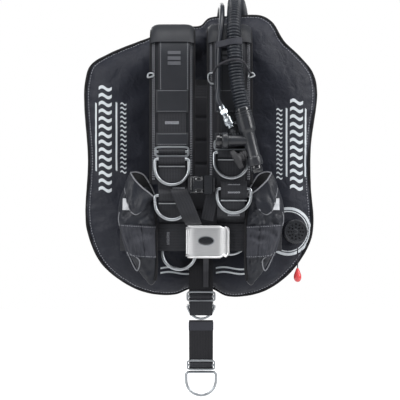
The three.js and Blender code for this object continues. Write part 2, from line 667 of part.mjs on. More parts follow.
function addInflator() {
  const neckZ = ELBOW.z + ELBOW.height / 2;
  place('inflator_elbow', join(
    rod(vec(ELBOW.x, -1, neckZ), vec(ELBOW.x, ELBOW.y, neckZ), ELBOW.neck, 20),
    rod(vec(ELBOW.x, ELBOW.y, ELBOW.z), vec(ELBOW.x, ELBOW.y, ELBOW.z + ELBOW.height),
      ELBOW.radius, 20),
  ), 'plastic');

  const hose = new THREE.CatmullRomCurve3([
    vec(ELBOW.x, ELBOW.y, ELBOW.z + ELBOW.height + GAP), vec(82, 25, 238), vec(80, 21, 266),
    vec(75, 3, 288), vec(69, -22, 297), vec(63, -58, 290), vec(60, -90, 268), vec(58, -111, 236),
    vec(58, -120, 200), vec(60, INFLATOR_Y, 160), vec(64.5, INFLATOR_Y, 125),
    alongInflator(-14), alongInflator(-GAP),
  ], false, 'centripetal');
  place('corrugated_hose', tube(hose, HOSE_RADIUS, 34, 10), 'rubber');

  // cuff, head, side barrel, nipple and the seat of the lower button
  const barrelEnd = vec(47, INFLATOR_Y, BARREL_Z);
  const nippleTop = vec(54, INFLATOR_Y, 50);
  place('inflator_body', cut(join(
    rod(alongInflator(0), alongInflator(38), 15, 20),
    rod(alongInflator(37), alongInflator(84), 11.5, 20),
    rod(alongInflator(83), alongInflator(98), 13.4, 20),
    rod(vec(86, INFLATOR_Y, BARREL_Z), barrelEnd, 9.7, 16),
    rod(barrelEnd.clone().add(vec(1, 0, 0)), vec(37, INFLATOR_Y, BARREL_Z), 14.5, 20),
    rod(vec(60, INFLATOR_Y, BARREL_Z + 4), nippleTop, 5, 12),
  ), rod(vec(36, INFLATOR_Y, BARREL_Z), vec(46.5, INFLATOR_Y, BARREL_Z), 9 + GAP, 16),
  rod(alongInflator(88.5), alongInflator(99), 9.5 + GAP, 16)), 'plastic');

  place('inflate_button', join(
    rod(vec(42.5, INFLATOR_Y, BARREL_Z), vec(33, INFLATOR_Y, BARREL_Z), 9, 16),
    rod(vec(33.5, INFLATOR_Y, BARREL_Z), vec(26, INFLATOR_Y, BARREL_Z), 11.5, 16)), 'plastic');
  place('deflate_button', join(
    rod(alongInflator(92.6), alongInflator(104), 9.5, 16),
    rod(alongInflator(103.5), alongInflator(111), 10.6, 16, 9)), 'plastic');

  // the mouthpiece: a ribbed neck and an oval lip, both leaning out of the head
  const mouthAxis = vec(-0.86, 0, -0.51).normalize();
  const neckStart = alongInflator(70).addScaledVector(mouthAxis, 9);
  const neck = rod(neckStart, neckStart.clone().addScaledVector(mouthAxis, 19), 7.5, 16);
  const lip = new THREE.CylinderGeometry(10.5, 10.5, 9, 24);
  lip.scale(1.75, 1, 1);
  const acrossMouth = vec(-mouthAxis.z, 0, mouthAxis.x);
  const lean = new THREE.Matrix4().makeBasis(acrossMouth, mouthAxis, vec(0, 1, 0));
  lip.applyMatrix4(lean);
  const lipAt = neckStart.clone().addScaledVector(mouthAxis, 23);
  lip.translate(lipAt.x, lipAt.y, lipAt.z);
  const bore = rod(neckStart.clone().addScaledVector(mouthAxis, 6),
    neckStart.clone().addScaledVector(mouthAxis, 30), 5, 12);
  const socket = rod(alongInflator(50), alongInflator(84), 11.5 + GAP, 20);
  const collar = rod(alongInflator(82.7), alongInflator(99), 13.4 + GAP, 20);
  place('mouthpiece', cut(join(neck, lip), bore, socket, collar), 'rubber');

  // quick coupling and its sliding sleeve
  const couplingAxis = vec(-0.42, 0.1, 0.9).normalize();
  const alongCoupling = (distance) => nippleTop.clone().addScaledVector(couplingAxis, distance);
  const coupling = join(
    rod(alongCoupling(GAP + 0.4), alongCoupling(40), 6.2, 16),
    rod(alongCoupling(28), alongCoupling(44), 7.5, 6));
  place('coupling_body', coupling, 'steel');
  place('coupling_sleeve', cut(rod(alongCoupling(6), alongCoupling(21), 9, 20),
    rod(alongCoupling(5), alongCoupling(22), 6.2 + GAP, 16)), 'steel');

  const start = alongCoupling(44 + GAP);
  const lp = new THREE.CatmullRomCurve3([
    start, alongCoupling(58), vec(31, -113, 122), vec(31, -113, 150), vec(32, -113, 185),
    vec(34, -112, 215), vec(37, -103, 245), vec(38, -82, 269), vec(38, -52, 283), vec(37, -20, 290),
    vec(36, 8, 284), vec(34, 28, 266), vec(33, 37, 243), vec(32, 39, 218), vec(32, 39, 196),
  ], false, 'centripetal');
  place('low_pressure_hose', tube(lp, LP_RADIUS, 38, 8), 'rubber');
  place('hose_end_fitting', join(
    rod(vec(32, 39, 196 - GAP), vec(32, 39, 180), 7, 16),
    rod(vec(32, 39, 181), vec(32, 39, 173), 8.5, 6),
    rod(vec(32, 39, 174), vec(32, 39, 163), 4.7, 12)), 'steel');
}

// ---------------------------------------------------------------- dump valve

function addDumpValve() {
  const { x, z, neck, cap } = VALVE;
  const at = (y) => vec(x, y, z);
  const seatFront = -31;
  place('dump_valve_seat', cut(join(
    rod(at(-12), at(seatFront), neck, 20),
    rod(at(seatFront + 1), at(seatFront - 2), cap - 2.5, 24),
  ), rod(at(-10), at(-27), 10, 16), rod(at(-20), at(-35), 13, 16)), 'plastic');
  place('dump_valve_poppet', rod(at(-23.5), at(-26.5), 12.4, 16), 'rubber');
  const capBack = seatFront - 2 - GAP;
  const holes = [];
  for (let k = 0; k < 8; k += 1) {
    const angle = 2 * Math.PI * k / 8 + Math.PI / 8;
    const hx = x + 15 * Math.cos(angle);
    const hz = z + 15 * Math.sin(angle);
    holes.push(rod(vec(hx, capBack - 12, hz), vec(hx, capBack - 4, hz), 2, 8));
  }
  const cordTop = z - cap + 7;
  const cordX = x + 4;
  const cordY = capBack - 4;
  const cordRadius = 1.1;
  const cordHole = rod(vec(cordX, cordY, z - cap - 2), vec(cordX, cordY, cordTop + 1),
    cordRadius + GAP, 8);
  place('dump_valve_cap', cut(rod(at(capBack), at(capBack - 9), cap, 32, cap - 3),
    rod(at(capBack + 1), at(capBack - 6.5), cap - 5, 24), ...holes, cordHole), 'plastic');
  const knobTop = z - 68;
  place('dump_pull_cord', rod(vec(cordX, cordY, cordTop),
    vec(cordX, cordY, knobTop + GAP), cordRadius, 8), 'webbing');
  const knob = new THREE.LatheGeometry([[0, 0], [2.2, 0], [4.5, -6], [7.2, -15], [7, -20],
    [4.4, -24.5], [0, -26]].map(([u, v]) => new THREE.Vector2(u, v)), 16);
  knob.rotateX(Math.PI / 2);
  knob.deleteAttribute('normal');
  knob.deleteAttribute('uv');
  const teardrop = geometryOf(solid(outwards(mergeVertices(knob, 1e-4))));
  place('dump_pull_knob', teardrop.translate(cordX, cordY, knobTop), 'redPlastic');
}

// ---------------------------------------------------------------- assembly

addWing();
addTankSide();
addPlate();
addShoulders();
addChestBuckle();
addDiagonals();
addWaist();
addPocket('right', -1);
addPocket('left', 1);
addCrotchStrap();
addInflator();
addDumpValve();

export default group;
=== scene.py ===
import math

import bpy
import numpy as np
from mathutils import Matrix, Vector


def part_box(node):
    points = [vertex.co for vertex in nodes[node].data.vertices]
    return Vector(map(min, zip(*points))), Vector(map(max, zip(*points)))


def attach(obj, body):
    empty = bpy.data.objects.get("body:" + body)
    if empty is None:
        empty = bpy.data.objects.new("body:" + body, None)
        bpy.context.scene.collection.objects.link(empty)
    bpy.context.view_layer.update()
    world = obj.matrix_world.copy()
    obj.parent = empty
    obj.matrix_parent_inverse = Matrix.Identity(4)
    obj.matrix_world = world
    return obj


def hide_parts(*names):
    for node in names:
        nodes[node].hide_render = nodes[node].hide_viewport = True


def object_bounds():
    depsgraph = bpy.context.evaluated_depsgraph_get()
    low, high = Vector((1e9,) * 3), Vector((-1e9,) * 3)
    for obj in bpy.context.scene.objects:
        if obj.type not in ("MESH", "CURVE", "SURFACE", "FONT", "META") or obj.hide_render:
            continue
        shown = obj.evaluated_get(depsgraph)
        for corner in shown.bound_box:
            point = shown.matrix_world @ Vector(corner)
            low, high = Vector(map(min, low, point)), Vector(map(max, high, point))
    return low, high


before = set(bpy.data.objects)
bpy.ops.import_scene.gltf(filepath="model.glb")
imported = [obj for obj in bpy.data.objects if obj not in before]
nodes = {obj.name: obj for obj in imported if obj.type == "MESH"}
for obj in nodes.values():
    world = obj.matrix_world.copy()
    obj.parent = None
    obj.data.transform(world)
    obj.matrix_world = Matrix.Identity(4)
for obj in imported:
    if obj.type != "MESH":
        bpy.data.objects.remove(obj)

# Diving wing with a webbing harness, hanging upright in a plain studio. Metres. +X is the wearer's
# left, -Y is the front, +Z is up, and the tank pad's rear face is at y = 0.

cad_low, cad_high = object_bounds()
scene = bpy.context.scene
MM = 0.001

# ---------------------------------------------------------------- studio
# A pale floor below the hanging vest and a white surround. Two tall soft boxes give the dark
# cloth its long soft highlights, and a weaker one behind keeps the tank side readable.

EYE_DISTANCE = 1.55
FIELD = 0.76
AIM = (-0.0019, -0.0086, -0.076)

camera_data = bpy.data.cameras.new("studio_camera")
camera_data.sensor_width = 36.0
camera_data.lens = 36.0 * EYE_DISTANCE / FIELD
camera_data.clip_start = 0.05
camera = bpy.data.objects.new("studio_camera", camera_data)
camera.location = (AIM[0], AIM[1] - EYE_DISTANCE, AIM[2])
camera.rotation_euler = (math.pi / 2, 0, 0)
scene.collection.objects.link(camera)
scene.camera = camera
scene.view_settings.view_transform = "Standard"


def soft_box(name, place, size, power):
    """A rectangular area light at place, turned to face the vest."""
    data = bpy.data.lights.new(name, "AREA")
    data.shape = "RECTANGLE"
    data.size, data.size_y = size
    data.energy = power
    lamp = bpy.data.objects.new(name, data)
    lamp.location = place
    aim = -lamp.location
    lamp.rotation_euler = aim.to_track_quat("-Z", "Y").to_euler()
    scene.collection.objects.link(lamp)


soft_box("left_box", (-1.5, -1.1, 0.6), (0.5, 1.5), 24)
soft_box("right_box", (1.6, -0.8, 0.8), (0.5, 1.5), 32)
soft_box("top_box", (0.1, -0.7, 1.6), (1.5, 0.8), 22)
soft_box("back_box", (-0.4, 1.8, 0.7), (1.6, 1.4), 26)

world = bpy.data.worlds.new("studio")
scene.world = world
world.use_nodes = True
sky = world.node_tree.nodes
sky_links = world.node_tree.links
surround = sky["Background"]
surround.inputs["Color"].default_value = (0.86, 0.89, 0.95, 1)
surround.inputs["Strength"].default_value = 0.22
backdrop = sky.new("ShaderNodeBackground")
backdrop.inputs["Color"].default_value = (1, 1, 1, 1)
backdrop.inputs["Strength"].default_value = 1.0
chosen = sky.new("ShaderNodeMixShader")
sky_links.new(sky.new("ShaderNodeLightPath").outputs["Is Camera Ray"], chosen.inputs[0])
sky_links.new(surround.outputs[0], chosen.inputs[1])
sky_links.new(backdrop.outputs[0], chosen.inputs[2])
sky_links.new(chosen.outputs[0], sky["World Output"].inputs["Surface"])

FLOOR, FLOOR_HALF = cad_low.z - 0.25, 3.0
FADE_START, FADE_LENGTH = 0.1, 0.7
floor_mesh = bpy.data.meshes.new("floor")
floor_mesh.from_pydata([(-FLOOR_HALF, -FLOOR_HALF, FLOOR), (FLOOR_HALF, -FLOOR_HALF, FLOOR),
                        (FLOOR_HALF, FLOOR_HALF, FLOOR),
                        (-FLOOR_HALF, FLOOR_HALF, FLOOR)], [],
                       [(0, 1, 2, 3)])
floor = bpy.data.objects.new("floor", floor_mesh)
floor_paint = bpy.data.materials.new("pale_floor")
floor_paint.use_nodes = True
floor_tree = floor_paint.node_tree
floor_bsdf = floor_tree.nodes["Principled BSDF"]
floor_bsdf.inputs["Base Color"].default_value = (0.93, 0.93, 0.93, 1)
floor_bsdf.inputs["Roughness"].default_value = 0.8
floor_bsdf.inputs["Emission Color"].default_value = (1, 1, 1, 1)
away = floor_tree.nodes.new("ShaderNodeVectorMath")
away.operation = "LENGTH"
floor_tree.links.new(floor_tree.nodes.new("ShaderNodeTexCoord").outputs["Object"], away.inputs[0])
seen_by_camera = floor_tree.nodes.new("ShaderNodeLightPath").outputs["Is Camera Ray"]
fade = floor_tree.nodes.new("ShaderNodeMapRange")
fade.inputs["From Min"].default_value = -FLOOR + FADE_START
fade.inputs["From Max"].default_value = -FLOOR + FADE_START + FADE_LENGTH
floor_tree.links.new(away.outputs["Value"], fade.inputs["Value"])
glow = floor_tree.nodes.new("ShaderNodeMath")
glow.operation = "MULTIPLY"
floor_tree.links.new(fade.outputs["Result"], glow.inputs[0])
floor_tree.links.new(seen_by_camera, glow.inputs[1])
floor_tree.links.new(glow.outputs[0], floor_bsdf.inputs["Emission Strength"])
floor_mesh.materials.append(floor_paint)
scene.collection.objects.link(floor)

# ---------------------------------------------------------------- low-pressure hose
# The thin rubber hose that feeds the inflator. It rises from the quick coupling, passes over the
# top of the wing and hangs behind it, where its fitting would screw into the regulator.


def spline(points, count, closed=False):
    """Centripetal Catmull-Rom line through the points, as count points evenly spaced by length."""
    p = np.asarray(points, float)
    if closed:
        p = np.vstack([p[-1], p, p[0], p[1]])
    else:
        p = np.vstack([2 * p[0] - p[1], p, 2 * p[-1] - p[-2]])
    a, b, c, d = p[:-3], p[1:-2], p[2:-1], p[3:]
    gap = lambda u, v: np.maximum(np.linalg.norm(v - u, axis=1), 1e-9)[:, None] ** 0.5
    da, db, dc = gap(a, b), gap(b, c), gap(c, d)
    ta = ((b - a) / da - (c - a) / (da + db) + (c - b) / db) * db
    tb = ((c - b) / db - (d - b) / (db + dc) + (d - c) / dc) * db
    t = np.linspace(0, 1, 24, endpoint=False)[None, :, None]
    b, c, ta, tb = (q[:, None, :] for q in (b, c, ta, tb))
    dense = (2 * t**3 - 3 * t**2 + 1) * b + (t**3 - 2 * t**2 + t) * ta
    dense = dense + (3 * t**2 - 2 * t**3) * c + (t**3 - t**2) * tb
    dense = np.vstack([dense.reshape(-1, p.shape[1]), p[-2]])
    run = np.concatenate([[0], np.cumsum(np.linalg.norm(np.diff(dense, axis=0), axis=1))])
    want = np.linspace(0, run[-1], count + 1 if closed else count)
    want = want[:-1] if closed else want
    return np.column_stack([np.interp(want, run, dense[:, k]) for k in range(p.shape[1])])


def unit(v):
    """Vectors along the last axis, each divided by its length."""
    return v / np.maximum(np.linalg.norm(v, axis=-1, keepdims=True), 1e-12)


def frames(path, hint, closed=False):
    """Tangent, side and up along a path: side is hint squared to it, up is tangent x side."""
    if closed:
        tangent = unit(np.roll(path, -1, axis=0) - np.roll(path, 1, axis=0))
    else:
        tangent = unit(np.gradient(path, axis=0))
    hint = np.broadcast_to(np.asarray(hint, float), path.shape)
    side = unit(hint - np.sum(hint * tangent, axis=1, keepdims=True) * tangent)
    return tangent, side, np.cross(tangent, side)


def sweep(path, section, hint, closed=False):
    """Grid of points: the section's (across, out) pairs laid on side and up at each path point.

    section is (m, 2), or (n, m, 2) where it changes along the path."""
    _, side, up = frames(path, hint, closed)
    section = np.broadcast_to(section, (len(path),) + np.shape(section)[-2:])
    return (path[:, None, :] + section[:, :, :1] * side[:, None, :]
            + section[:, :, 1:] * up[:, None, :])


def circle(radius, count=20):
    """count points of a circle, radius out."""
    turn = np.linspace(0, 2 * math.pi, count, endpoint=False)
    return radius * np.column_stack([np.cos(turn), np.sin(turn)])


def squarish(width, thick, count=28, corner=0.35):
    """A rectangle with rounded corners, as cos and sin raised to the power corner."""
    turn = np.linspace(0, 2 * math.pi, count, endpoint=False) + math.pi / count
    soft = lambda v: np.sign(v) * np.abs(v) ** corner
    return np.column_stack([width / 2 * soft(np.cos(turn)), thick / 2 * soft(np.sin(turn))])


def skin(grid, along=False, caps=True):
    """Corner points, faces and cloth coordinates of a grid that closes round its second axis.

    along joins the last row to the first; caps closes each open end with one face. Faces are turned
    so that the enclosed volume is positive. Cloth coordinates run in metres round and along."""
    n, m, _ = grid.shape
    rows = n if along else n - 1
    i, j = np.meshgrid(np.arange(rows), np.arange(m), indexing="ij")
    k, l = (i + 1) % n, (j + 1) % m
    quads = np.stack([i * m + j, i * m + l, k * m + l, k * m + j], axis=-1).reshape(-1, 4)
    round_step = np.linalg.norm(np.roll(grid, -1, axis=1) - grid, axis=2).mean(axis=0)
    run_step = np.linalg.norm(np.roll(grid, -1, axis=0) - grid, axis=2).mean(axis=1)
    u = np.concatenate([[0], np.cumsum(round_step)])
    v = np.concatenate([[0], np.cumsum(run_step)])
    uv = np.stack([np.stack([u[j], v[i]], -1), np.stack([u[j + 1], v[i]], -1),
                   np.stack([u[j + 1], v[i + 1]], -1), np.stack([u[j], v[i + 1]], -1)], axis=2)
    faces, coords = [tuple(f) for f in quads], list(uv.reshape(-1, 4, 2))
    if caps and not along:
        for row, turn in ((0, -1), (n - 1, 1)):
            faces.append(tuple(int(row * m + q) for q in np.arange(m)[::turn]))
            flat = grid[row][::turn]
            coords.append(np.column_stack([flat[:, 0], flat[:, 2]]))
    points = grid.reshape(-1, 3)
    a, b, c, d = (points[quads[:, q]] for q in range(4))
    middle = points.mean(axis=0)
    volume = np.einsum("ij,ij->i", a - middle, np.cross(b - middle, c - middle)).sum()
    volume += np.einsum("ij,ij->i", a - middle, np.cross(c - middle, d - middle)).sum()
    if volume < 0:
        faces = [f[::-1] for f in faces]
        coords = [q[::-1] for q in coords]
    return points, faces, coords


def piece(name, skins, finish, body="root", stands_for=(), sharp=35):
    """One object from one or more skins, smooth but for edges sharper than an angle in degrees.

    It gets its finish, rides on its body and stands for the CAD nodes that it replaces."""
    points, faces, coords, base = [], [], [], 0
    for p, f, c in skins:
        points.append(p)
        faces += [tuple(int(q) + base for q in face) for face in f]
        coords += list(c)
        base += len(p)
    mesh = bpy.data.meshes.new(name)
    mesh.from_pydata(np.vstack(points).tolist(), [], faces)
    cloth = mesh.uv_layers.new(name="cloth")
    cloth.data.foreach_set("uv", np.concatenate(coords).astype(np.float32).ravel())
    mesh.polygons.foreach_set("use_smooth", [True] * len(mesh.polygons))
    mesh.set_sharp_from_angle(angle=math.radians(sharp))
    mesh.materials.append(finish)
    made = bpy.data.objects.new(name, mesh)
    scene.collection.objects.link(made)
    if body:
        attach(made, body)
    if stands_for:
        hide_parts(*stands_for)
    return made


def shader(name, slot, colour, roughness, metallic=0.0, **fixed):
    """A material with one Principled shader. fixed sets more of the shader's own sockets."""
    made = bpy.data.materials.new(name)
    made.use_nodes = True
    made["slot"] = slot
    bsdf = made.node_tree.nodes["Principled BSDF"]
    bsdf.inputs["Base Color"].default_value = (*colour, 1)
    bsdf.inputs["Roughness"].default_value = roughness
    bsdf.inputs["Metallic"].default_value = metallic
    for socket, value in fixed.items():
        bsdf.inputs[socket.replace("_", " ")].default_value = value
    return made


def effect_group(name, inputs, outputs):
    """An empty node group: inputs is {name: value}, outputs is names. All of them are numbers."""
    made = bpy.data.node_groups.new(name, "ShaderNodeTree")
    for label, value in inputs.items():
        made.interface.new_socket(label, in_out="INPUT",
                                  socket_type="NodeSocketFloat").default_value = value
    for label in outputs:
        made.interface.new_socket(label, in_out="OUTPUT", socket_type="NodeSocketFloat")
    return made, made.nodes.new("NodeGroupInput").outputs, made.nodes.new("NodeGroupOutput").inputs


def math_node(tree, operation, first, second=None):
    """A math node; numbers are set on it and sockets are linked to it. Returns its output."""
    node = tree.nodes.new("ShaderNodeMath")
    node.operation = operation
    for socket, value in zip(node.inputs, (first, second)):
        if value is None:
            continue
        if isinstance(value, (int, float)):
            socket.default_value = value
        else:
            tree.links.new(value, socket)
    return node.outputs[0]


def shade_mix(tree, share, dark, light):
    """Mixes two colours by a share. Returns the colour output."""
    node = tree.nodes.new("ShaderNodeMix")
    node.data_type = "RGBA"
    for socket, value in ((node.inputs["Factor"], share), (node.inputs["A"], dark),
                          (node.inputs["B"], light)):
        if isinstance(value, (tuple, list)):
            socket.default_value = (*value, 1)[:4]
        else:
            tree.links.new(value, socket)
    return node.outputs["Result"]


def noise(tree, scale, detail, vector=None, distortion=0.0):
    """Noise on the object's own coordinates, or on a given vector. Returns its 0 to 1 output."""
    node = tree.nodes.new("ShaderNodeTexNoise")
    node.inputs["Detail"].default_value = detail
    node.inputs["Distortion"].default_value = distortion
    vector = vector or tree.nodes.new("ShaderNodeTexCoord").outputs["Object"]
    tree.links.new(vector, node.inputs["Vector"])
    if isinstance(scale, (int, float)):
        node.inputs["Scale"].default_value = scale
    else:
        tree.links.new(scale, node.inputs["Scale"])
    return node.outputs["Fac"]


def bumped(tree, height, strength, distance, under=None):
    """Bump from a height, over another bump's normal if one is given. Returns the normal."""
    node = tree.nodes.new("ShaderNodeBump")
    node.inputs["Strength"].default_value = strength
    node.inputs["Distance"].default_value = distance
    tree.links.new(height, node.inputs["Height"])
    if under:
        tree.links.new(under, node.inputs["Normal"])
    return node.outputs["Normal"]


def effect(tree, group, **values):
    """An effect group put into a material with its inputs set. Returns its outputs."""
    node = tree.nodes.new("ShaderNodeGroup")
    node.node_tree = group
    for label, value in values.items():
        node.inputs[label.replace("_", " ")].default_value = value
    return node.outputs


def finished(made, colour_share, dark, light, wear, roughness, spread, normal):
    """Wires a finish: colour mixed by a share, roughness drifting by the wear, and the normal."""
    tree = made.node_tree
    bsdf = tree.nodes["Principled BSDF"]
    tree.links.new(shade_mix(tree, colour_share, dark, light), bsdf.inputs["Base Color"])
    drift = math_node(tree, "MULTIPLY", wear, 2 * spread)
    tree.links.new(math_node(tree, "ADD", drift, roughness - spread), bsdf.inputs["Roughness"])
    tree.links.new(normal, bsdf.inputs["Normal"])
    return made


def speckle_group():
    """Surface life for moulded and metal pieces: broad tone changes and a fine grain.

    Tone is noise at a few centimetres, Grain is noise at under a millimetre, both 0 to 1."""
    tree, given, out = effect_group("surface_life", {"Broad": 30.0, "Fine": 1500.0},
                                    ("Tone", "Grain"))
    for label, scale, detail in (("Tone", "Broad", 3), ("Grain", "Fine", 2)):
        tree.links.new(noise(tree, given[scale], detail), out[label])
    return tree


surface_life = speckle_group()


def moulded(name, slot, dark, light, roughness, bump=0.15, broad=30.0, fine=1500.0, metallic=0.0,
            spread=0.12, **fixed):
    """A moulded or cast finish: colour and roughness drift with the tone, grain gives bump."""
    made = shader(name, slot, dark, roughness, metallic, **fixed)
    life = effect(made.node_tree, surface_life, Broad=broad, Fine=fine)
    grain = bumped(made.node_tree, life["Grain"], bump, 0.4 * MM)
    return finished(made, life["Tone"], dark, light, life["Tone"], roughness, spread, grain)


hose_rubber = moulded("hose_rubber", "rubber", (0.010, 0.012, 0.016), (0.024, 0.028, 0.037), 0.36,
                      bump=0.25)
LP_DIAMETER = 9.5 * MM
lp_route = np.array([
    [35.3, -117.6, 89.9], [29.5, -116.2, 102.4], [31, -113, 122], [31, -113, 150], [32, -113, 185],
    [34, -112, 215], [37, -103, 245], [38, -82, 269], [38, -52, 283], [37, -20, 290], [36, 8, 284],
    [34, 28, 266], [33, 37, 243], [32, 39, 218], [32, 39, 196]]) * MM
lp_path = spline(lp_route, 160)
lp_hose = piece("low_pressure_hose_rubber",
                [skin(sweep(lp_path, circle(LP_DIAMETER / 2, 18), (1, 0, 0)))],
                hose_rubber, stands_for=["low_pressure_hose"])

polished = moulded("polished_brass_chrome", "chrome", (0.46, 0.50, 0.53), (0.66, 0.70, 0.74), 0.2,
                   bump=0.04, metallic=1.0, spread=0.05)


def lathe(start, end, outline, count=32):
    """A turned skin from start to end: outline rows are (share of the way in metres, radius)."""
    start, end = np.asarray(start, float), np.asarray(end, float)
    axis = unit(end - start)
    hint = np.array([0, 1, 0]) if abs(axis[1]) < 0.9 else np.array([1, 0, 0])
    side = unit(hint - np.dot(hint, axis) * axis)
    up = np.cross(axis, side)
    ring = circle(1, count)
    rows = np.asarray(outline, float)
    centre = start + rows[:, :1] * axis
    spokes = ring[:, :1] * side + ring[:, 1:] * up
    return skin(centre[:, None, :] + rows[:, 1][:, None, None] * spokes[None])


fit_low, fit_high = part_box("hose_end_fitting")
fit_x, fit_y = 32 * MM, 39 * MM
crimp = [(0, 0.0068), (0.001, 0.0074), (0.004, 0.0074), (0.005, 0.0068), (0.008, 0.0068),
         (0.009, 0.0074), (0.012, 0.0074), (0.013, 0.0066), (0.015, 0.0064)]
thread = [(0.0232 + 0.0009 * k, 0.0047 - 0.0005 * (k % 2)) for k in range(11)]
hose_end = piece("regulator_fitting", [
    lathe((fit_x, fit_y, fit_high.z), (fit_x, fit_y, fit_low.z), crimp),
    lathe((fit_x, fit_y, fit_high.z), (fit_x, fit_y, fit_low.z),
          [(0.0148, 0.0080), (0.0155, 0.0086), (0.022, 0.0086), (0.0228, 0.0080)], 6),
    lathe((fit_x, fit_y, fit_high.z), (fit_x, fit_y, fit_low.z), [(0.0225, 0.0044), *thread]),
], polished, stands_for=["hose_end_fitting"])

# ---------------------------------------------------------------- corrugated hose
# The wide hose between the wing's elbow and the inflator. It is moulded rubber in even ribs, so
# that it bends without closing, and it is drawn over hose barbs at both ends.

hose_route = np.array([
    [82, 25, 208.3], [82, 25, 238], [80, 21, 266], [75, 3, 288], [69, -22, 297], [63, -58, 290],
    [60, -90, 268], [58, -111, 236], [58, -120, 200], [60, -122, 160], [64.5, -122, 125],
    [70.2, -122, 93.6], [73.43, -122, 80.3]]) * MM
RIB_PITCH = 5.4 * MM
HOSE_RADIUS = 13 * MM
hose_length = float(np.linalg.norm(np.diff(spline(hose_route, 400), axis=0), axis=1).sum())
hose_path = spline(hose_route, int(hose_length / RIB_PITCH) * 8 + 1)
along_hose = np.linspace(0, hose_length, len(hose_path))
rib = 0.5 + 0.5 * np.cos(2 * math.pi * along_hose / RIB_PITCH)
calm = np.clip(np.minimum(along_hose, hose_length - along_hose) / (9 * MM), 0, 1)
hose_radius = HOSE_RADIUS - 3.2 * MM * calm * (1 - rib**0.55)
hose_grid = sweep(hose_path, hose_radius[:, None, None] * circle(1, 28)[None], (1, 0, 0))
corrugated = piece("corrugated_hose_rubber", [skin(hose_grid)], hose_rubber,
                   stands_for=["corrugated_hose"], sharp=70)

# ---------------------------------------------------------------- wing
# Two panels of coated nylon, sewn together round the edge over an empty air cell. The lobes are
# a little full of air, which draws the cloth into puckers along the seam.

WING_HALF_WIDTH, WING_TOP, WING_BOTTOM = 218 * MM, 272 * MM, -256 * MM
WING_MID = -8.6 * MM
SEAM_HALF = 2.3 * MM
LOBE_RISE = 18 * MM
FLAT_SHARE, SPINE_SHARE = 0.4, 0.6
right_low = [(-0.09, 0.945), (-0.23, 0.988), (-0.46, 0.977), (-0.665, 0.902), (-0.87, 0.75),
             (-0.98, 0.527), (-0.995, 0.39), (-0.973, 0)]
right_high = [(-1.005, 0.386), (-1, 0.533), (-0.954, 0.654), (-0.794, 0.735), (-0.422, 0.853),
              (-0.206, 0.919), (0, 0.93)]
left_high = [(0.075, 0.982), (0.275, 0.995), (0.514, 1), (0.61, 0.958), (0.716, 0.824),
             (0.849, 0.72), (0.963, 0.607), (1, 0.478), (0.945, 0.092)]
left_low = [(0.945, 0.195), (0.968, 0.461), (0.94, 0.605), (0.789, 0.812), (0.6, 0.941),
            (0.436, 0.992), (0.23, 1), (0.09, 0.945)]
wing_corners = ([(u * WING_HALF_WIDTH, v * WING_BOTTOM) for u, v in right_low]
                + [(u * WING_HALF_WIDTH, v * WING_TOP) for u, v in right_high + left_high]
                + [(u * WING_HALF_WIDTH, v * WING_BOTTOM) for u, v in left_low])


def smooth_step(low, high, value):
    """0 below low, 1 above high and an even S between them."""
    t = np.clip((value - low) / (high - low), 0, 1)
    return t * t * (3 - 2 * t)


def folds(where, pitch, turns, seed):
    """Sum of sine waves in different directions, about -1 to 1: a cheap smooth crumple."""
    dice = np.random.default_rng(seed)
    total = np.zeros(where.shape[:-1])
    for _ in range(turns):
        angle, size = dice.uniform(0, math.pi), dice.uniform(0.6, 1.7)
        run = where[..., 0] * math.cos(angle) + where[..., 1] * math.sin(angle)
        side = where[..., 0] * math.sin(angle) - where[..., 1] * math.cos(angle)
        bend = dice.uniform(0.3, 0.9) * pitch * np.sin(side * 2 * math.pi / (pitch * 3.1)
                                                       + dice.uniform(0, 6))
        total += np.sin((run + bend) * 2 * math.pi / (pitch * size) + dice.uniform(0, 6))
    return total / turns**0.5


def puffed(grid, held, pressure, reach, frames_run=20):
    """The grid after its closed skin is blown up as cloth.

    held is 1 where the cloth is sewn down and 0 where it is free, and reach caps the movement."""
    points, faces, _ = skin(grid, along=True, caps=False)
    mesh = bpy.data.meshes.new("blown")
    mesh.from_pydata(points.tolist(), [], faces)
    blown = bpy.data.objects.new("blown", mesh)
    scene.collection.objects.link(blown)
    sewn = blown.vertex_groups.new(name="sewn")
    for level in np.unique(np.round(held.ravel(), 1)):
        if level > 0:
            picked = np.flatnonzero(np.round(held.ravel(), 1) == level).tolist()
            sewn.add(picked, float(level), "REPLACE")
    cloth = blown.modifiers.new("cloth", "CLOTH")
    cloth.settings.quality = 6
    cloth.settings.mass = 0.4
    cloth.settings.tension_stiffness = cloth.settings.compression_stiffness = 25
    cloth.settings.shear_stiffness = 12
    cloth.settings.bending_stiffness = 0.15
    cloth.settings.use_pressure = True
    cloth.settings.uniform_pressure_force = pressure
    cloth.settings.effector_weights.gravity = 0
    cloth.settings.vertex_group_mass = "sewn"
    cloth.collision_settings.use_collision = False
    cloth.point_cache.frame_start, cloth.point_cache.frame_end = 1, frames_run
    for step in range(1, frames_run + 1):
        scene.frame_set(step)
    ready = blown.evaluated_get(bpy.context.evaluated_depsgraph_get()).data
    after = np.empty(len(points) * 3)
    ready.vertices.foreach_get("co", after)
    scene.frame_set(1)
    bpy.data.objects.remove(blown)
    move = after.reshape(-1, 3) - points
    far = np.linalg.norm(move, axis=1, keepdims=True)
    move *= reach / np.maximum(reach, far)
    return grid + move.reshape(grid.shape)


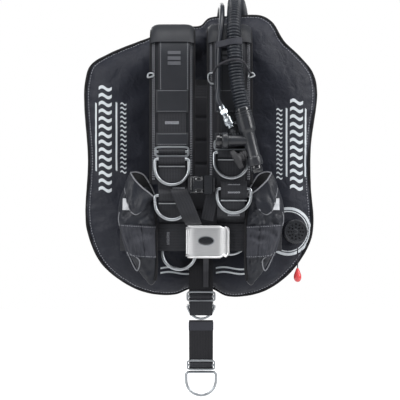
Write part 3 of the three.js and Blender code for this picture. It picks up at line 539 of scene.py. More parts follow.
def finer(grid, rows, columns, along=False):
    """The grid resampled to rows x columns by cubic curves, closed round its second axis."""
    for axis, count, closed in ((0, rows, along), (1, columns, True)):
        g = np.moveaxis(grid, axis, 0)
        n = len(g)
        at = np.linspace(0, n, count, endpoint=False) if closed else np.linspace(0, n - 1, count)
        k = np.minimum(np.floor(at).astype(int), n - 1 if closed else n - 2)
        t = (at - k)[:, None, None]
        pick = (lambda q: g[q % n]) if closed else (lambda q: g[np.clip(q, 0, n - 1)])
        a, b, c, d = pick(k - 1), pick(k), pick(k + 1), pick(k + 2)
        g = b + 0.5 * t * (c - a + t * (2 * a - 5 * b + 4 * c - d + t * (3 * (b - c) + d - a)))
        grid = np.moveaxis(g, 0, axis)
    return grid


WING_EDGE, WING_SHARES = 240, 30
wing_edge = spline(wing_corners, WING_EDGE, closed=True)
share = 1 - np.linspace(0, 1, WING_SHARES) ** 1.25
both = np.concatenate([share[::-1], share[1:]])
facing = np.concatenate([-np.ones(WING_SHARES), np.ones(WING_SHARES - 1)])
facing[WING_SHARES - 1] = 0


def wing_surface(edge, s, side):
    """Points of the wing: side -1 on the front, 1 on the back, at share s of the way out."""
    u = np.clip((1 - s) / (1 - FLAT_SHARE), 0, 1)
    rise = SEAM_HALF * (1 - smooth_step(0.93, 1, s)) + LOBE_RISE * np.sin(math.pi * u) ** 0.8
    grid = np.empty(edge.shape[:1] + s.shape + (3,))
    grid[..., 0] = edge[:, :1] * s
    grid[..., 1] = WING_MID + side * rise
    grid[..., 2] = edge[:, 1:] * (SPINE_SHARE + (1 - SPINE_SHARE) * s)
    return grid


wing_grid = wing_surface(wing_edge, both, facing)
sewn_down = np.broadcast_to(np.where(both < FLAT_SHARE + 0.08, 1.0, 0.0),
                            wing_grid.shape[:2]).copy()
sewn_down[:, WING_SHARES - 1] = 0.6
wing_grid = puffed(wing_grid, sewn_down, 2.2, 7 * MM)
wing_grid = finer(wing_grid, 3 * WING_EDGE, 4 * WING_SHARES - 1, along=True)
shown_share = np.interp(np.linspace(0, len(both), wing_grid.shape[1], endpoint=False),
                        np.arange(len(both)), both)
edge_run = np.linspace(0, 1, len(wing_grid), endpoint=False)[:, None]
free = smooth_step(FLAT_SHARE, FLAT_SHARE + 0.2, shown_share)[None, :]
near_seam = (np.exp(-((1 - shown_share) / 0.085) ** 2)[None, :]
             * smooth_step(0, 0.03, 1 - shown_share))
turn = 2 * math.pi * edge_run
pucker = (np.sin(61 * turn + 3 * np.sin(7 * turn)) + 0.7 * np.sin(97 * turn + 2 * np.sin(11 * turn))
          + 0.6 * np.sin(38 * turn + 4 * np.sin(5 * turn)))
crease = folds(wing_grid[..., [0, 2]], 0.085, 7, 4) * free
sharp_crease = ((1 - np.abs(folds(wing_grid[..., [0, 2]], 0.12, 4, 9))) * free
                * smooth_step(0, 0.1, 1 - shown_share))
depth = 0.9 * MM * pucker * near_seam + 1.5 * MM * crease + 1.3 * MM * sharp_crease
outward = np.sign(wing_grid[..., 1] - WING_MID)
wing_grid[..., 1] += outward * depth


def cloth_group():
    """Close-woven nylon: Tone is broad wear, Weave the threads and Crumple small soft dents."""
    tree, given, out = effect_group("woven_cloth", {"Threads": 900.0}, ("Tone", "Weave", "Crumple"))
    where = tree.nodes.new("ShaderNodeTexCoord").outputs["Object"]
    for label, scale, detail in (("Tone", 9.0, 4), ("Crumple", 55.0, 5)):
        tree.links.new(noise(tree, scale, detail, where, 0.6), out[label])
    split = tree.nodes.new("ShaderNodeSeparateXYZ")
    tree.links.new(where, split.inputs[0])
    waves = [math_node(tree, "SINE",
                       math_node(tree, "MULTIPLY", split.outputs[axis], given["Threads"]))
             for axis in ("X", "Z")]
    tree.links.new(math_node(tree, "MULTIPLY", waves[0], waves[1]), out["Weave"])
    return tree


woven_cloth = cloth_group()


def fabric(name, slot, dark, light, roughness=0.8, bump=0.35, threads=2600.0, dents=0.0012,
           sheen=0.05):
    """A woven finish: tone drifts between two colours, and dents and threads give the bump."""
    made = shader(name, slot, dark, roughness, Sheen_Weight=sheen, Sheen_Roughness=0.45,
                  Specular_IOR_Level=0.28)
    cloth = effect(made.node_tree, woven_cloth, Threads=threads)
    dent = bumped(made.node_tree, cloth["Crumple"], bump, dents)
    weave = bumped(made.node_tree, cloth["Weave"], 0.3, 0.2 * MM, dent)
    return finished(made, cloth["Tone"], dark, light, cloth["Crumple"], roughness, 0.15, weave)


def printed_waves():
    """Mask of a plain printed block of wavy bars, stacked one above another.

    It is 1 where the height, bent by a sine of the place across, falls in the
    light share of each pitch and the whole bar lies inside the block."""
    tree, given, out = effect_group("printed_waves", {
        "Centre X": 0.0, "Centre Z": 0.0, "Half X": 0.03, "Half Z": 0.09, "Pitch": 0.02,
        "Fill": 0.4}, ("Mask",))
    split = tree.nodes.new("ShaderNodeSeparateXYZ")
    tree.links.new(tree.nodes.new("ShaderNodeTexCoord").outputs["Object"], split.inputs[0])
    across = math_node(tree, "SUBTRACT", split.outputs["X"], given["Centre X"])
    height = math_node(tree, "SUBTRACT", split.outputs["Z"], given["Centre Z"])
    bend = math_node(tree, "SINE",
                     math_node(tree, "DIVIDE", across,
                               math_node(tree, "MULTIPLY", given["Half X"], 0.33)))
    bent = math_node(tree, "ADD", height,
                     math_node(tree, "MULTIPLY", bend,
                               math_node(tree, "MULTIPLY", given["Pitch"], 0.22)))
    steps = math_node(tree, "DIVIDE", bent, given["Pitch"])
    bar = math_node(tree, "LESS_THAN", math_node(tree, "FRACT", steps), given["Fill"])
    row = math_node(tree, "MULTIPLY", math_node(tree, "ADD", math_node(tree, "FLOOR", steps), 0.5),
                    given["Pitch"])
    in_x = math_node(tree, "LESS_THAN", math_node(tree, "ABSOLUTE", across), given["Half X"])
    in_z = math_node(tree, "LESS_THAN", math_node(tree, "ABSOLUTE", row), given["Half Z"])
    tree.links.new(math_node(tree, "MULTIPLY", bar, math_node(tree, "MULTIPLY", in_x, in_z)),
                   out["Mask"])
    return tree


wing_cloth = fabric("wing_nylon", "cordura", (0.006, 0.007, 0.012), (0.016, 0.018, 0.028), 0.55,
                    bump=0.7, dents=0.004, sheen=0.04)
wing_tree = wing_cloth.node_tree
wing_bsdf = wing_tree.nodes["Principled BSDF"]
waves_group = printed_waves()
masks = []
for centre_x, centre_z, half_x, half_z, pitch, fill in (
        (-0.180, 0.043, 0.0125, 0.097, 0.0146, 0.42), (0.1795, 0.032, 0.0125, 0.094, 0.0146, 0.42),
        (-0.198, 0.043, 0.0016, 0.066, 0.004, 1.1), (-0.1585, 0.043, 0.0016, 0.066, 0.004, 1.1),
        (0.1975, 0.032, 0.0016, 0.065, 0.004, 1.1), (0.1605, 0.032, 0.0016, 0.065, 0.004, 1.1),
        (-0.1455, 0.043, 0.0055, 0.069, 0.0085, 0.34), (0.147, 0.032, 0.0055, 0.067, 0.0085, 0.34),
        (-0.045, -0.206, 0.031, 0.0105, 0.0085, 0.36),
        (0.059, -0.206, 0.031, 0.0105, 0.0085, 0.36)):
    block = effect(wing_tree, waves_group, Centre_X=centre_x, Centre_Z=centre_z, Half_X=half_x,
                   Half_Z=half_z, Pitch=pitch, Fill=fill)
    masks.append(block["Mask"])
place = wing_tree.nodes.new("ShaderNodeSeparateXYZ")
wing_tree.links.new(wing_tree.nodes.new("ShaderNodeTexCoord").outputs["Object"], place.inputs[0])
TARGET_X, TARGET_Z = 164 * MM, -135 * MM
away_x = math_node(wing_tree, "SUBTRACT", place.outputs["X"], TARGET_X)
away_z = math_node(wing_tree, "SUBTRACT", place.outputs["Z"], TARGET_Z)
away = math_node(wing_tree, "SQRT",
                 math_node(wing_tree, "ADD", math_node(wing_tree, "MULTIPLY", away_x, away_x),
                           math_node(wing_tree, "MULTIPLY", away_z, away_z)))
for radius, half_line in ((0.043, 0.0026), (0.0375, 0.0009)):
    off = math_node(wing_tree, "ABSOLUTE", math_node(wing_tree, "SUBTRACT", away, radius))
    masks.append(math_node(wing_tree, "LESS_THAN", off, half_line))
front_only = math_node(wing_tree, "LESS_THAN", place.outputs["Y"], WING_MID - 0.001)
mask = masks[0]
for other in masks[1:]:
    mask = math_node(wing_tree, "MAXIMUM", mask, other)
mask = math_node(wing_tree, "MULTIPLY", mask, front_only)
cloth_colour = wing_bsdf.inputs["Base Color"].links[0].from_socket
wing_tree.links.new(shade_mix(wing_tree, math_node(wing_tree, "MULTIPLY", mask, 0.82), cloth_colour,
                              (0.68, 0.72, 0.75)), wing_bsdf.inputs["Base Color"])

wing = piece("wing_cloth", [skin(wing_grid, along=True)], wing_cloth,
             stands_for=["wing_front_panel", "wing_back_panel", "wing_bladder"], sharp=60)

tape_weave = fabric("binding_tape", "binding", (0.003, 0.003, 0.004), (0.008, 0.008, 0.010), 0.75,
                    threads=5200.0, dents=0.0005)
binding_path = np.insert(spline(wing_corners, 720, closed=True), 1, WING_MID, axis=1)
binding_path[:, 1] += 0.35 * MM * np.sin(61 * 2 * math.pi * np.arange(720) / 720)
piece("wing_binding",
      [skin(sweep(binding_path, squarish(5.2 * MM, 5.4 * MM, 20, 0.45), (0, 1, 0), closed=True),
            along=True)], tape_weave, stands_for=["wing_edge_binding"], sharp=80)


def stitches(path, normal, pitch, thick, rise=0.25 * MM, reach=0.62):
    """A run of stitches along a path: each is a six-sided spindle, lying along the path.

    They are spaced pitch apart, and rise lifts each one's middle along the normal."""
    run = np.concatenate([[0], np.cumsum(np.linalg.norm(np.diff(path, axis=0), axis=1))])
    count = max(int(run[-1] / pitch), 1)
    mid = (np.arange(count) + 0.5) * run[-1] / count
    at = np.column_stack([np.interp(mid, run, path[:, k]) for k in range(3)])
    ahead = unit(np.column_stack([np.interp(mid + 0.1 * pitch, run, path[:, k]) for k in range(3)])
                 -
                 np.column_stack([np.interp(mid - 0.1 * pitch, run, path[:, k]) for k in range(3)]))
    if np.ndim(normal) == 2:
        share_at = np.linspace(0, run[-1], len(normal))
        normal = np.column_stack([np.interp(mid, share_at, normal[:, k]) for k in range(3)])
    out = np.broadcast_to(unit(np.asarray(normal, float)), ahead.shape)
    side = unit(np.cross(ahead, out))
    up = np.cross(side, ahead)
    steps = np.array([-0.5, -0.34, 0.34, 0.5]) * pitch * reach
    sizes = np.array([0.25, 1, 1, 0.25]) * thick / 2
    ring = circle(1, 6)
    points = (at[:, None, None, :] + steps[None, :, None, None] * ahead[:, None, None, :]
              + up[:, None, None, :] * rise
              + sizes[None, :, None, None] * (ring[None, None, :, :1] * side[:, None, None, :]
                                              + ring[None, None, :, 1:] * up[:, None, None, :]))
    faces, coords = [], []
    one = [(6 * r + q, 6 * r + (q + 1) % 6, 6 * (r + 1) + (q + 1) % 6, 6 * (r + 1) + q)
           for r in range(3) for q in range(6)]
    ends = [tuple(range(5, -1, -1)), tuple(range(18, 24))]
    for k in range(count):
        base = 24 * k
        for face in one + ends:
            faces.append(tuple(base + q for q in face))
            coords.append(np.tile([[0.0, 0.0]], (len(face), 1)))
    flat = points.reshape(-1, 3)
    a, b, c = flat[faces[0][0]], flat[faces[0][1]], flat[faces[0][2]]
    if np.dot(np.cross(b - a, c - a), a - at[0]) < 0:
        faces = [f[::-1] for f in faces]
    return flat, faces, coords


grey_thread = moulded("grey_thread", "cord", (0.26, 0.27, 0.30), (0.42, 0.43, 0.46), 0.6, bump=0.3,
                      fine=3000.0)
columns = wing_grid.shape[1]
seam_skins, SEAM_SHARE = [], 0.972
for face_side in (-1, 1):
    picked = [j for j in range(columns) if np.sign(wing_grid[0, j, 1] - WING_MID) == face_side]
    column = min(picked, key=lambda j: abs(shown_share[j] - SEAM_SHARE))
    line = np.vstack([wing_grid[:, column], wing_grid[:1, column]])
    seam_skins.append(stitches(line, (0, face_side, 0), 5.2 * MM, 1.1 * MM, 0.4 * MM))
piece("wing_edge_stitching", seam_skins, grey_thread)

# ---------------------------------------------------------------- dump valve
# A moulded over-pressure valve at the lower left of the wing: a flange clamped through the cloth,
# a perforated cap screwed on it, and a short cord with a red pull that lifts the seal by hand.

satin_plastic = moulded("satin_nylon_moulding", "plastic", (0.014, 0.015, 0.018),
                        (0.024, 0.026, 0.031), 0.36,
                        bump=0.12)
black_rubber = moulded("seal_rubber", "rubber", (0.015, 0.015, 0.017), (0.03, 0.03, 0.034), 0.6)


def keep(finish, *names):
    """Gives CAD pieces that stay in view a finish in their own material slots."""
    for name in names:
        mesh = nodes[name].data
        for k in range(len(mesh.materials)):
            mesh.materials[k] = finish


keep(satin_plastic, "dump_valve_seat")
keep(black_rubber, "dump_valve_poppet")
VALVE_X, VALVE_Z, CAP_BACK = 176 * MM, -135 * MM, -33.3 * MM
spoke, radius = np.meshgrid(np.linspace(0, 2 * math.pi, 192, endpoint=False), np.linspace(0, 1, 40),
                            indexing="ij")
cap_radius = radius * 18.6 * MM
front_y = CAP_BACK - 9 * MM + 0.6 * MM * radius**2
for ring_radius, holes, hole_size in ((13.6 * MM, 12, 1.9 * MM), (8.2 * MM, 8, 1.6 * MM)):
    step_angle = 2 * math.pi / holes
    off_angle = (spoke + step_angle / 2) % step_angle - step_angle / 2
    off = np.hypot(cap_radius - ring_radius, cap_radius * off_angle)
    front_y = front_y + 2.2 * MM * (1 - smooth_step(hole_size * 0.75, hole_size, off))
front_y = front_y - 0.7 * MM * (1 - smooth_step(3.6 * MM, 4.2 * MM, cap_radius))
rim_radius = np.array([19.2, 19.9, 21.2, 22.1, 22.5, 22.5, 22.5, 21.8]) * MM
rim_y = CAP_BACK - np.array([9.0, 9.0, 8.9, 8.3, 7.4, 4.0, 0.6, 0.0]) * MM
knurl = 1 - 0.018 * (0.5 + 0.5 * np.cos(36 * spoke[:, :1])) * smooth_step(21.5 * MM, 22.3 * MM,
                                                                          rim_radius)[None, :]
all_radius = np.hstack([cap_radius, rim_radius[None, :] * knurl])
all_y = np.hstack([front_y, np.broadcast_to(rim_y, (192, 8))])
cap_grid = np.stack([VALVE_X + all_radius * np.cos(spoke[:, :1]), all_y,
                     VALVE_Z + all_radius * np.sin(spoke[:, :1])], axis=-1)
cap_grid = np.moveaxis(cap_grid, 0, 1)
piece("dump_valve_cover", [skin(cap_grid)], satin_plastic, stands_for=["dump_valve_cap"], sharp=40)

red = moulded("red_pull", "red_plastic", (0.62, 0.045, 0.05), (0.75, 0.08, 0.085), 0.34, bump=0.06,
              Coat_Weight=0.3, Coat_Roughness=0.15)
cord_low, cord_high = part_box("dump_pull_cord")
cord_line = np.linspace((cord_low.x / 2 + cord_high.x / 2, cord_low.y / 2 + cord_high.y / 2,
                         cord_high.z),
                        (cord_low.x / 2 + cord_high.x / 2, cord_low.y / 2 + cord_high.y / 2,
                         cord_low.z), 80)
braid = fabric("braided_cord", "cord", (0.018, 0.018, 0.022), (0.035, 0.035, 0.042), 0.7,
               threads=6000.0)
braid_radius = 1.1 * MM * (1 - 0.07 * (0.5 + 0.5 * np.cos(np.arange(80) * 1.6)))
pull_cord = piece("dump_cord_braid",
                  [skin(sweep(cord_line, braid_radius[:, None, None] * circle(1, 10)[None],
                              (1, 0, 0)))],
                  braid, body="dump_pull", stands_for=["dump_pull_cord"])
knob_low, knob_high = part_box("dump_pull_knob")
knob_x, knob_y = cord_line[0, 0], cord_line[0, 1]
teardrop = [(0, 0.0005), (0.0002, 0.0020), (0.002, 0.0027), (0.005, 0.0040), (0.010, 0.0059),
            (0.0143, 0.0071),
            (0.0147, 0.0066), (0.0153, 0.0066), (0.0157, 0.0072), (0.019, 0.0070), (0.0222, 0.0059),
            (0.0245, 0.0042),
            (0.0256, 0.0022), (0.026, 0.0004)]
knob = piece("dump_pull_teardrop",
             [lathe((knob_x, knob_y, knob_high.z), (knob_x, knob_y, knob_low.z), teardrop, 28)],
             red,
             body="dump_pull", stands_for=["dump_pull_knob"])

# ---------------------------------------------------------------- tank side
# A ribbed foam pad lies between the wing and the tank, and two 50 mm bands pass through the plate
# and round the tank. Each band is drawn tight by a moulded cam buckle at the back.


def ribbed_group():
    """Narrow woven tape on its cloth coordinates, which are in metres.

    Rib is the crosswise ribs, Lines the lengthwise ones and Tone is broad wear."""
    tree, given, out = effect_group("ribbed_tape", {"Ribs": 5200.0}, ("Rib", "Lines", "Tone"))
    uv = tree.nodes.new("ShaderNodeUVMap")
    uv.uv_map = "cloth"
    split = tree.nodes.new("ShaderNodeSeparateXYZ")
    tree.links.new(uv.outputs[0], split.inputs[0])
    along = math_node(tree, "SINE", math_node(tree, "MULTIPLY", split.outputs["Y"], given["Ribs"]))
    tree.links.new(math_node(tree, "MULTIPLY", along, 0.5), out["Rib"])
    across = math_node(tree, "SINE", math_node(tree, "MULTIPLY", split.outputs["X"], 1250.0))
    tree.links.new(math_node(tree, "MULTIPLY", across, 0.5), out["Lines"])
    tree.links.new(noise(tree, 22.0, 4), out["Tone"])
    return tree


ribbed_tape = ribbed_group()


def tape(name, slot, dark, light, roughness=0.6, ribs=2600.0):
    """A woven tape: fine crosswise ribs and three faint lengthwise lines raise the surface."""
    made = shader(name, slot, dark, roughness, Sheen_Weight=0.05, Sheen_Roughness=0.4,
                  Specular_IOR_Level=0.28)
    tree = made.node_tree
    weave = effect(tree, ribbed_tape, Ribs=ribs)
    tone = math_node(tree, "ADD", weave["Tone"], math_node(tree, "MULTIPLY", weave["Lines"], 0.25))
    relief = bumped(tree, math_node(tree, "ADD", weave["Rib"], weave["Lines"]), 0.55, 0.4 * MM)
    return finished(made, tone, dark, light, weave["Tone"], roughness, 0.15, relief)


nylon_tape = tape("nylon_webbing", "webbing", (0.010, 0.0105, 0.013), (0.024, 0.025, 0.030))
spacer = fabric("spacer_fabric", "padding", (0.008, 0.0085, 0.011), (0.020, 0.0205, 0.025), 0.85,
                bump=0.35,
                threads=1900.0, dents=0.0009)


def ribbon(line, width, thick, x=0.0, lean=None, count=160):
    """A flat strap that runs along a line of (y, z) points, width across X, with rounded edges.

    lean gives the place across at each point of the line."""
    path = spline(line, count)
    centre = np.column_stack([np.full(len(path), x) if lean is None else lean(path), path])
    return sweep(centre, squarish(width, thick, 36, 0.22), (1, 0, 0))


pad_low, pad_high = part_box("tank_pad")
rows, cols = 90, 60
u, v = np.meshgrid(np.linspace(-1, 1, cols), np.linspace(-1, 1, rows))
crown = (1 - np.abs(u) ** 6) * (1 - np.abs(v) ** 8)
groove = 1 - 0.35 * np.exp(-(((v * 4.5) % 1 - 0.5) / 0.12) ** 2)
back_y = pad_low.y + (pad_high.y - pad_low.y) * (0.45 + 0.55 * crown * groove)
pad_x = pad_high.x * u * (1 - 0.03 * v**8)
pad_z = pad_high.z * v * (1 - 0.012 * u**8)


def pillow(front, back):
    """Closed skin from two facing sheets of points of the same size, joined round their rims."""
    rows, cols, _ = front.shape
    index = np.arange(rows * cols).reshape(rows, cols)
    quads = np.stack([index[:-1, :-1], index[:-1, 1:], index[1:, 1:], index[1:, :-1]],
                     -1).reshape(-1, 4)
    rim = np.concatenate([index[0, :-1], index[:-1, -1], index[-1, :0:-1], index[:0:-1, 0]])
    nxt = np.roll(rim, -1)
    far = rows * cols
    walls = np.stack([nxt, rim, rim + far, nxt + far], -1)
    faces = np.vstack([quads, quads[:, ::-1] + far, walls])
    points = np.vstack([front.reshape(-1, 3), back.reshape(-1, 3)])
    a, b, c, d = (points[faces[:, q]] - points.mean(axis=0) for q in range(4))
    volume = np.einsum("ij,ij->i", a, np.cross(b, c)).sum() + np.einsum("ij,ij->i", a,
                                                                        np.cross(c, d)).sum()
    if volume < 0:
        faces = faces[:, ::-1]
    flat = np.stack([points[faces][..., 0], points[faces][..., 2]], -1)
    return points, [tuple(int(q) for q in f) for f in faces], list(flat)


sheet = lambda x, y, z: np.stack([x, np.broadcast_to(y, x.shape), z], -1)
piece("tank_pad_foam",
      [pillow(sheet(pad_x, np.full_like(u, pad_low.y), pad_z), sheet(pad_x, back_y, pad_z))],
                 black_rubber, stands_for=["tank_pad"])

TANK_RADIUS = 92.5 * MM
BAND_FRONT, BAND_X = -15.75 * MM, 45 * MM
band_radius = TANK_RADIUS + 1.95 * MM
start = math.asin((BAND_X + 2 * MM) / band_radius)
around = np.linspace(start, 2 * math.pi - start, 40)
arc = np.column_stack([band_radius * np.sin(around),
                       TANK_RADIUS + 1 * MM - band_radius * np.cos(around)])
front_leg = [(-BAND_X, WING_MID), (-BAND_X + 2 * MM, BAND_FRONT + 2.5 * MM),
             (-BAND_X + 6 * MM, BAND_FRONT),
             (0, BAND_FRONT), (BAND_X - 6 * MM, BAND_FRONT),
             (BAND_X - 2 * MM, BAND_FRONT + 2.5 * MM), (BAND_X, WING_MID)]
band_loop = spline(np.vstack([arc, front_leg]), 260, closed=True)
for name, height in (("upper", 115 * MM), ("lower", -115 * MM)):
    path = np.column_stack([band_loop, np.full(len(band_loop), height)])
    band = sweep(path, squarish(50 * MM, 2.5 * MM, 36, 0.22), (0, 0, 1), closed=True)
    piece(f"{name}_band_webbing", [skin(band, along=True)], nylon_tape,
          stands_for=[f"{name}_tank_band"])
keep(satin_plastic, "upper_tank_buckle", "lower_tank_buckle", "upper_buckle_lever",
     "lower_buckle_lever")

# ---------------------------------------------------------------- plate and back pad
# A flat anodised plate carries everything. The back pad in front of it is spacer fabric over foam,
# quilted with cross channels and bound round its rim.


def brushed(name, slot, dark, light, roughness, along=(1.0, 40.0, 1.0), bump=0.1):
    """Metal with fine parallel scratches: noise stretched across one axis drives tone and bump."""
    made = shader(name, slot, dark, roughness, 1.0)
    tree = made.node_tree
    stretch = tree.nodes.new("ShaderNodeMapping")
    stretch.inputs["Scale"].default_value = along
    tree.links.new(tree.nodes.new("ShaderNodeTexCoord").outputs["Object"], stretch.inputs["Vector"])
    scratch = noise(tree, 60.0, 4, stretch.outputs[0])
    groove = bumped(tree, scratch, bump, 0.2 * MM)
    return finished(made, scratch, dark, light, scratch, roughness, 0.1, groove)


anodised = brushed("anodised_plate", "steel", (0.05, 0.052, 0.056), (0.09, 0.092, 0.098), 0.42,
                   (40.0, 1.0, 1.0))
keep(anodised, "backplate")
low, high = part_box("back_pad")
rows, cols = 150, 100
u, v = np.meshgrid(np.linspace(-1, 1, cols), np.linspace(-1, 1, rows))
corner_in = 1 - 0.16 * smooth_step(0.78, 1, np.abs(v)) ** 2
pad_x = high.x * u * corner_in
pad_z = (high.z + low.z) / 2 + (high.z - low.z) / 2 * v * (1 - 0.02 * u**4)
crown = ((1 - np.abs(u) ** 7) * (1 - np.abs(v) ** 9)) ** 0.5
channel = sum(np.exp(-((v - at) / 0.03) ** 2) for at in (-0.62, -0.21, 0.21, 0.62))
channel = channel + sum(np.exp(-((u - at) / 0.045) ** 2) for at in (-0.45, 0.45))
pad_y = high.y - (high.y - low.y) * (0.35 + 0.65 * crown * (1 - 0.42 * np.clip(channel, 0, 1)))
back_cushion = piece("back_pad_quilted",
                     [pillow(sheet(pad_x, pad_y, pad_z),
                             sheet(pad_x, np.full_like(u, high.y), pad_z))],
                     spacer, stands_for=["back_pad"], sharp=60)

# ---------------------------------------------------------------- shoulders
# Each shoulder is one 50 mm webbing that leaves the plate, crosses the top of the wing and runs
# down the chest on a padded sleeve. The sleeve is foam in spacer fabric, bound and double stitched round
# its edges, and two wide keepers hold the webbing flat on it.

PAD_X, PAD_WIDTH, PAD = 51.5 * MM, 80 * MM, 9 * MM
WEB, WEB_WIDTH = 2.5 * MM, 50 * MM
WEB_OFFSET = PAD / 2 + 0.3 * MM + WEB / 2
pad_corners = np.array([(-37, 165), (-39, 192), (-47, 217), (-63, 234), (-82, 223), (-95, 190),
                        (-95, 150),
                        (-95, 80), (-95, 0), (-95, -48)]) * MM
pad_line = spline(pad_corners, 200)


def pad_section(width, thick, count=64):
    """Cross-section of a padded sleeve: flat on the body, crowned outside, thin bound edges."""
    half = count // 2
    across = np.cos(np.linspace(0, math.pi, half, endpoint=False))
    lift = thick * (0.5 * (1 - np.abs(across) ** 5) ** 0.6)
    top = np.column_stack([width / 2 * across, np.maximum(lift, 0.0014)])
    under = np.column_stack([-width / 2 * across, -np.maximum(lift, 0.0014)])
    return np.vstack([top, under])


def outward_normals(path):
    """Unit normals of a path in the YZ plane, pointing away from the wing."""
    tangent = unit(np.gradient(path, axis=0))
    return np.column_stack([np.zeros(len(path)), tangent[:, 2], -tangent[:, 1]])


def raised(path_yz, distance, x):
    """The (y, z) line moved away from the wing by a distance, as 3-D points at x."""
    path = np.column_stack([np.full(len(path_yz), x), path_yz])
    normal = outward_normals(path)
    return path + distance * normal, normal


for name, side in (("right", -1), ("left", 1)):
    path, normal = raised(pad_line, 0, side * PAD_X)
    if normal[len(normal) // 2, 1] > 0:
        normal = -normal
    sections = np.repeat(pad_section(PAD_WIDTH, PAD)[None], len(path), axis=0)
    run = np.linspace(0, 1, len(path))
    ends = smooth_step(0, 0.03, run) * smooth_step(0, 0.03, 1 - run)
    sections = sections * np.stack([np.ones(len(path)), 0.35 + 0.65 * ends], -1)[:, None, :]
    ripple = 0.35 * MM * np.sin(run * 2 * math.pi * 13 + side) * (1
                                                                  - (sections[..., 0].T
                                                                     / (PAD_WIDTH / 2)) ** 2)
    sections[..., 1] += ripple.T * np.sign(sections[..., 1])
    sleeve = piece(f"shoulder_sleeve_{name}", [skin(sweep(path, sections, (1, 0, 0)))], spacer,
                   stands_for=[f"shoulder_pad_{name}"], sharp=60)
    rims, rows_of_thread = [], []
    for edge_side in (-1, 1):
        rim = path + np.array([edge_side * (PAD_WIDTH / 2 - 1.2 * MM), 0, 0])
        rims.append(skin(sweep(rim, squarish(4.6 * MM, 4.2 * MM, 16, 0.5), (1, 0, 0))))
        for inset in (5.2 * MM, 7.6 * MM):
            share_in = (PAD_WIDTH / 2 - inset) / (PAD_WIDTH / 2)
            height = PAD * 0.5 * (1 - share_in**5) ** 0.6
            line = path + normal * height + np.array([edge_side * (PAD_WIDTH / 2 - inset), 0, 0])
            rows_of_thread.append(stitches(line[4:-4], normal[4:-4], 4.2 * MM, 1.0 * MM, 0.2 * MM))
    piece(f"shoulder_binding_{name}", rims, tape_weave, sharp=80)
    piece(f"shoulder_stitching_{name}", rows_of_thread, grey_thread)

web_front_x = {"right": -52 * MM, "left": 53.5 * MM}
web_end = {"right": -150, "left": -126.5}
offset_line = raised(pad_line, 0, 0.0)
outside = offset_line[1]
outside = -outside if outside[len(outside) // 2, 1] > 0 else outside
web_top = (offset_line[0] + WEB_OFFSET * outside)[:, 1:] / MM
for name in ("right", "left"):
    head = [(-15.75, 142), (-17.75, 149), (-25, 158)]
    foot = [(-101.05, -70), (-101.05, -84), (-99.55, -94), (-90, -105), (-75, -111.5),
            (-68.65, -117.5),
            (-68.65, -121), (-68.65, web_end[name])]
    middle = web_top[8::12].tolist()
    line = np.array(head + middle + foot) * MM
    strap = ribbon(line, WEB_WIDTH, WEB, web_front_x[name], count=320)
    piece(f"shoulder_strap_{name}", [skin(strap)], nylon_tape,
          stands_for=[f"shoulder_webbing_{name}"])
WEB_FRONT = -102.3 * MM


def front_band(x, width, low_z, high_z, y, thick, swell=0.0, rows=26, cols=40):
    """A band lying flat across the front: closed skin with rounded rims, swollen in its middle."""
    u, v = np.meshgrid(np.linspace(-1, 1, cols), np.linspace(-1, 1, rows))
    fall = (1 - np.abs(u) ** 10) ** 0.5 * (1 - np.abs(v) ** 10) ** 0.5
    face = sheet(x + width / 2 * u, y - thick * (0.25 + 0.75 * fall) - swell * (1 - u * u),
                 (low_z + high_z) / 2
                 + (high_z - low_z) / 2 * v)
    back = sheet(x + width / 2 * u, np.full_like(u, y) - swell * (1 - u * u) * 0.6,
                 (low_z + high_z) / 2
                 + (high_z - low_z) / 2 * v)
    return pillow(face, back)


coated = fabric("coated_nylon", "cordura", (0.010, 0.011, 0.014), (0.024, 0.026, 0.031), 0.5,
                bump=0.5, threads=2200.0)
for name, side in (("right", -1), ("left", 1)):
    x = web_front_x[name]
    sides = []
    for low_z, high_z in ((80, 121), (21, 44)):
        sides.append(front_band(x, 58 * MM, low_z * MM, high_z * MM, WEB_FRONT + 0.1 * MM, 1.8 * MM,
                                0.8 * MM))
    piece(f"webbing_keepers_{name}", sides, coated, sharp=70)
    rows_of_thread = []
    for low_z, high_z in ((80, 121), (21, 44)):
        for z in (low_z + 2.2, high_z - 2.2):
            line = np.column_stack([np.linspace(x - 26 * MM, x + 26 * MM, 20), np.full(20, 0.0),
                                    np.full(20, z * MM)])
            line[:, 1] = WEB_FRONT - 1.8 * MM - 0.75 * MM * (1
                                                             - ((line[:, 0] - x) / (29 * MM)) ** 2)
            rows_of_thread.append(stitches(line, (0, -1, 0), 3.6 * MM, 0.6 * MM, 0.15 * MM))
    piece(f"keeper_stitching_{name}", rows_of_thread, grey_thread)
raised_line = (offset_line[0] + (WEB_OFFSET + WEB / 2 + 1.0 * MM) * outside)[:, 1:]
on_front = raised_line[(raised_line[:, 0] < -80 * MM) & (raised_line[:, 1] > 119 * MM)]
grey_print = moulded("grey_bar", "webbing", (0.05, 0.052, 0.06), (0.09, 0.093, 0.105), 0.6)
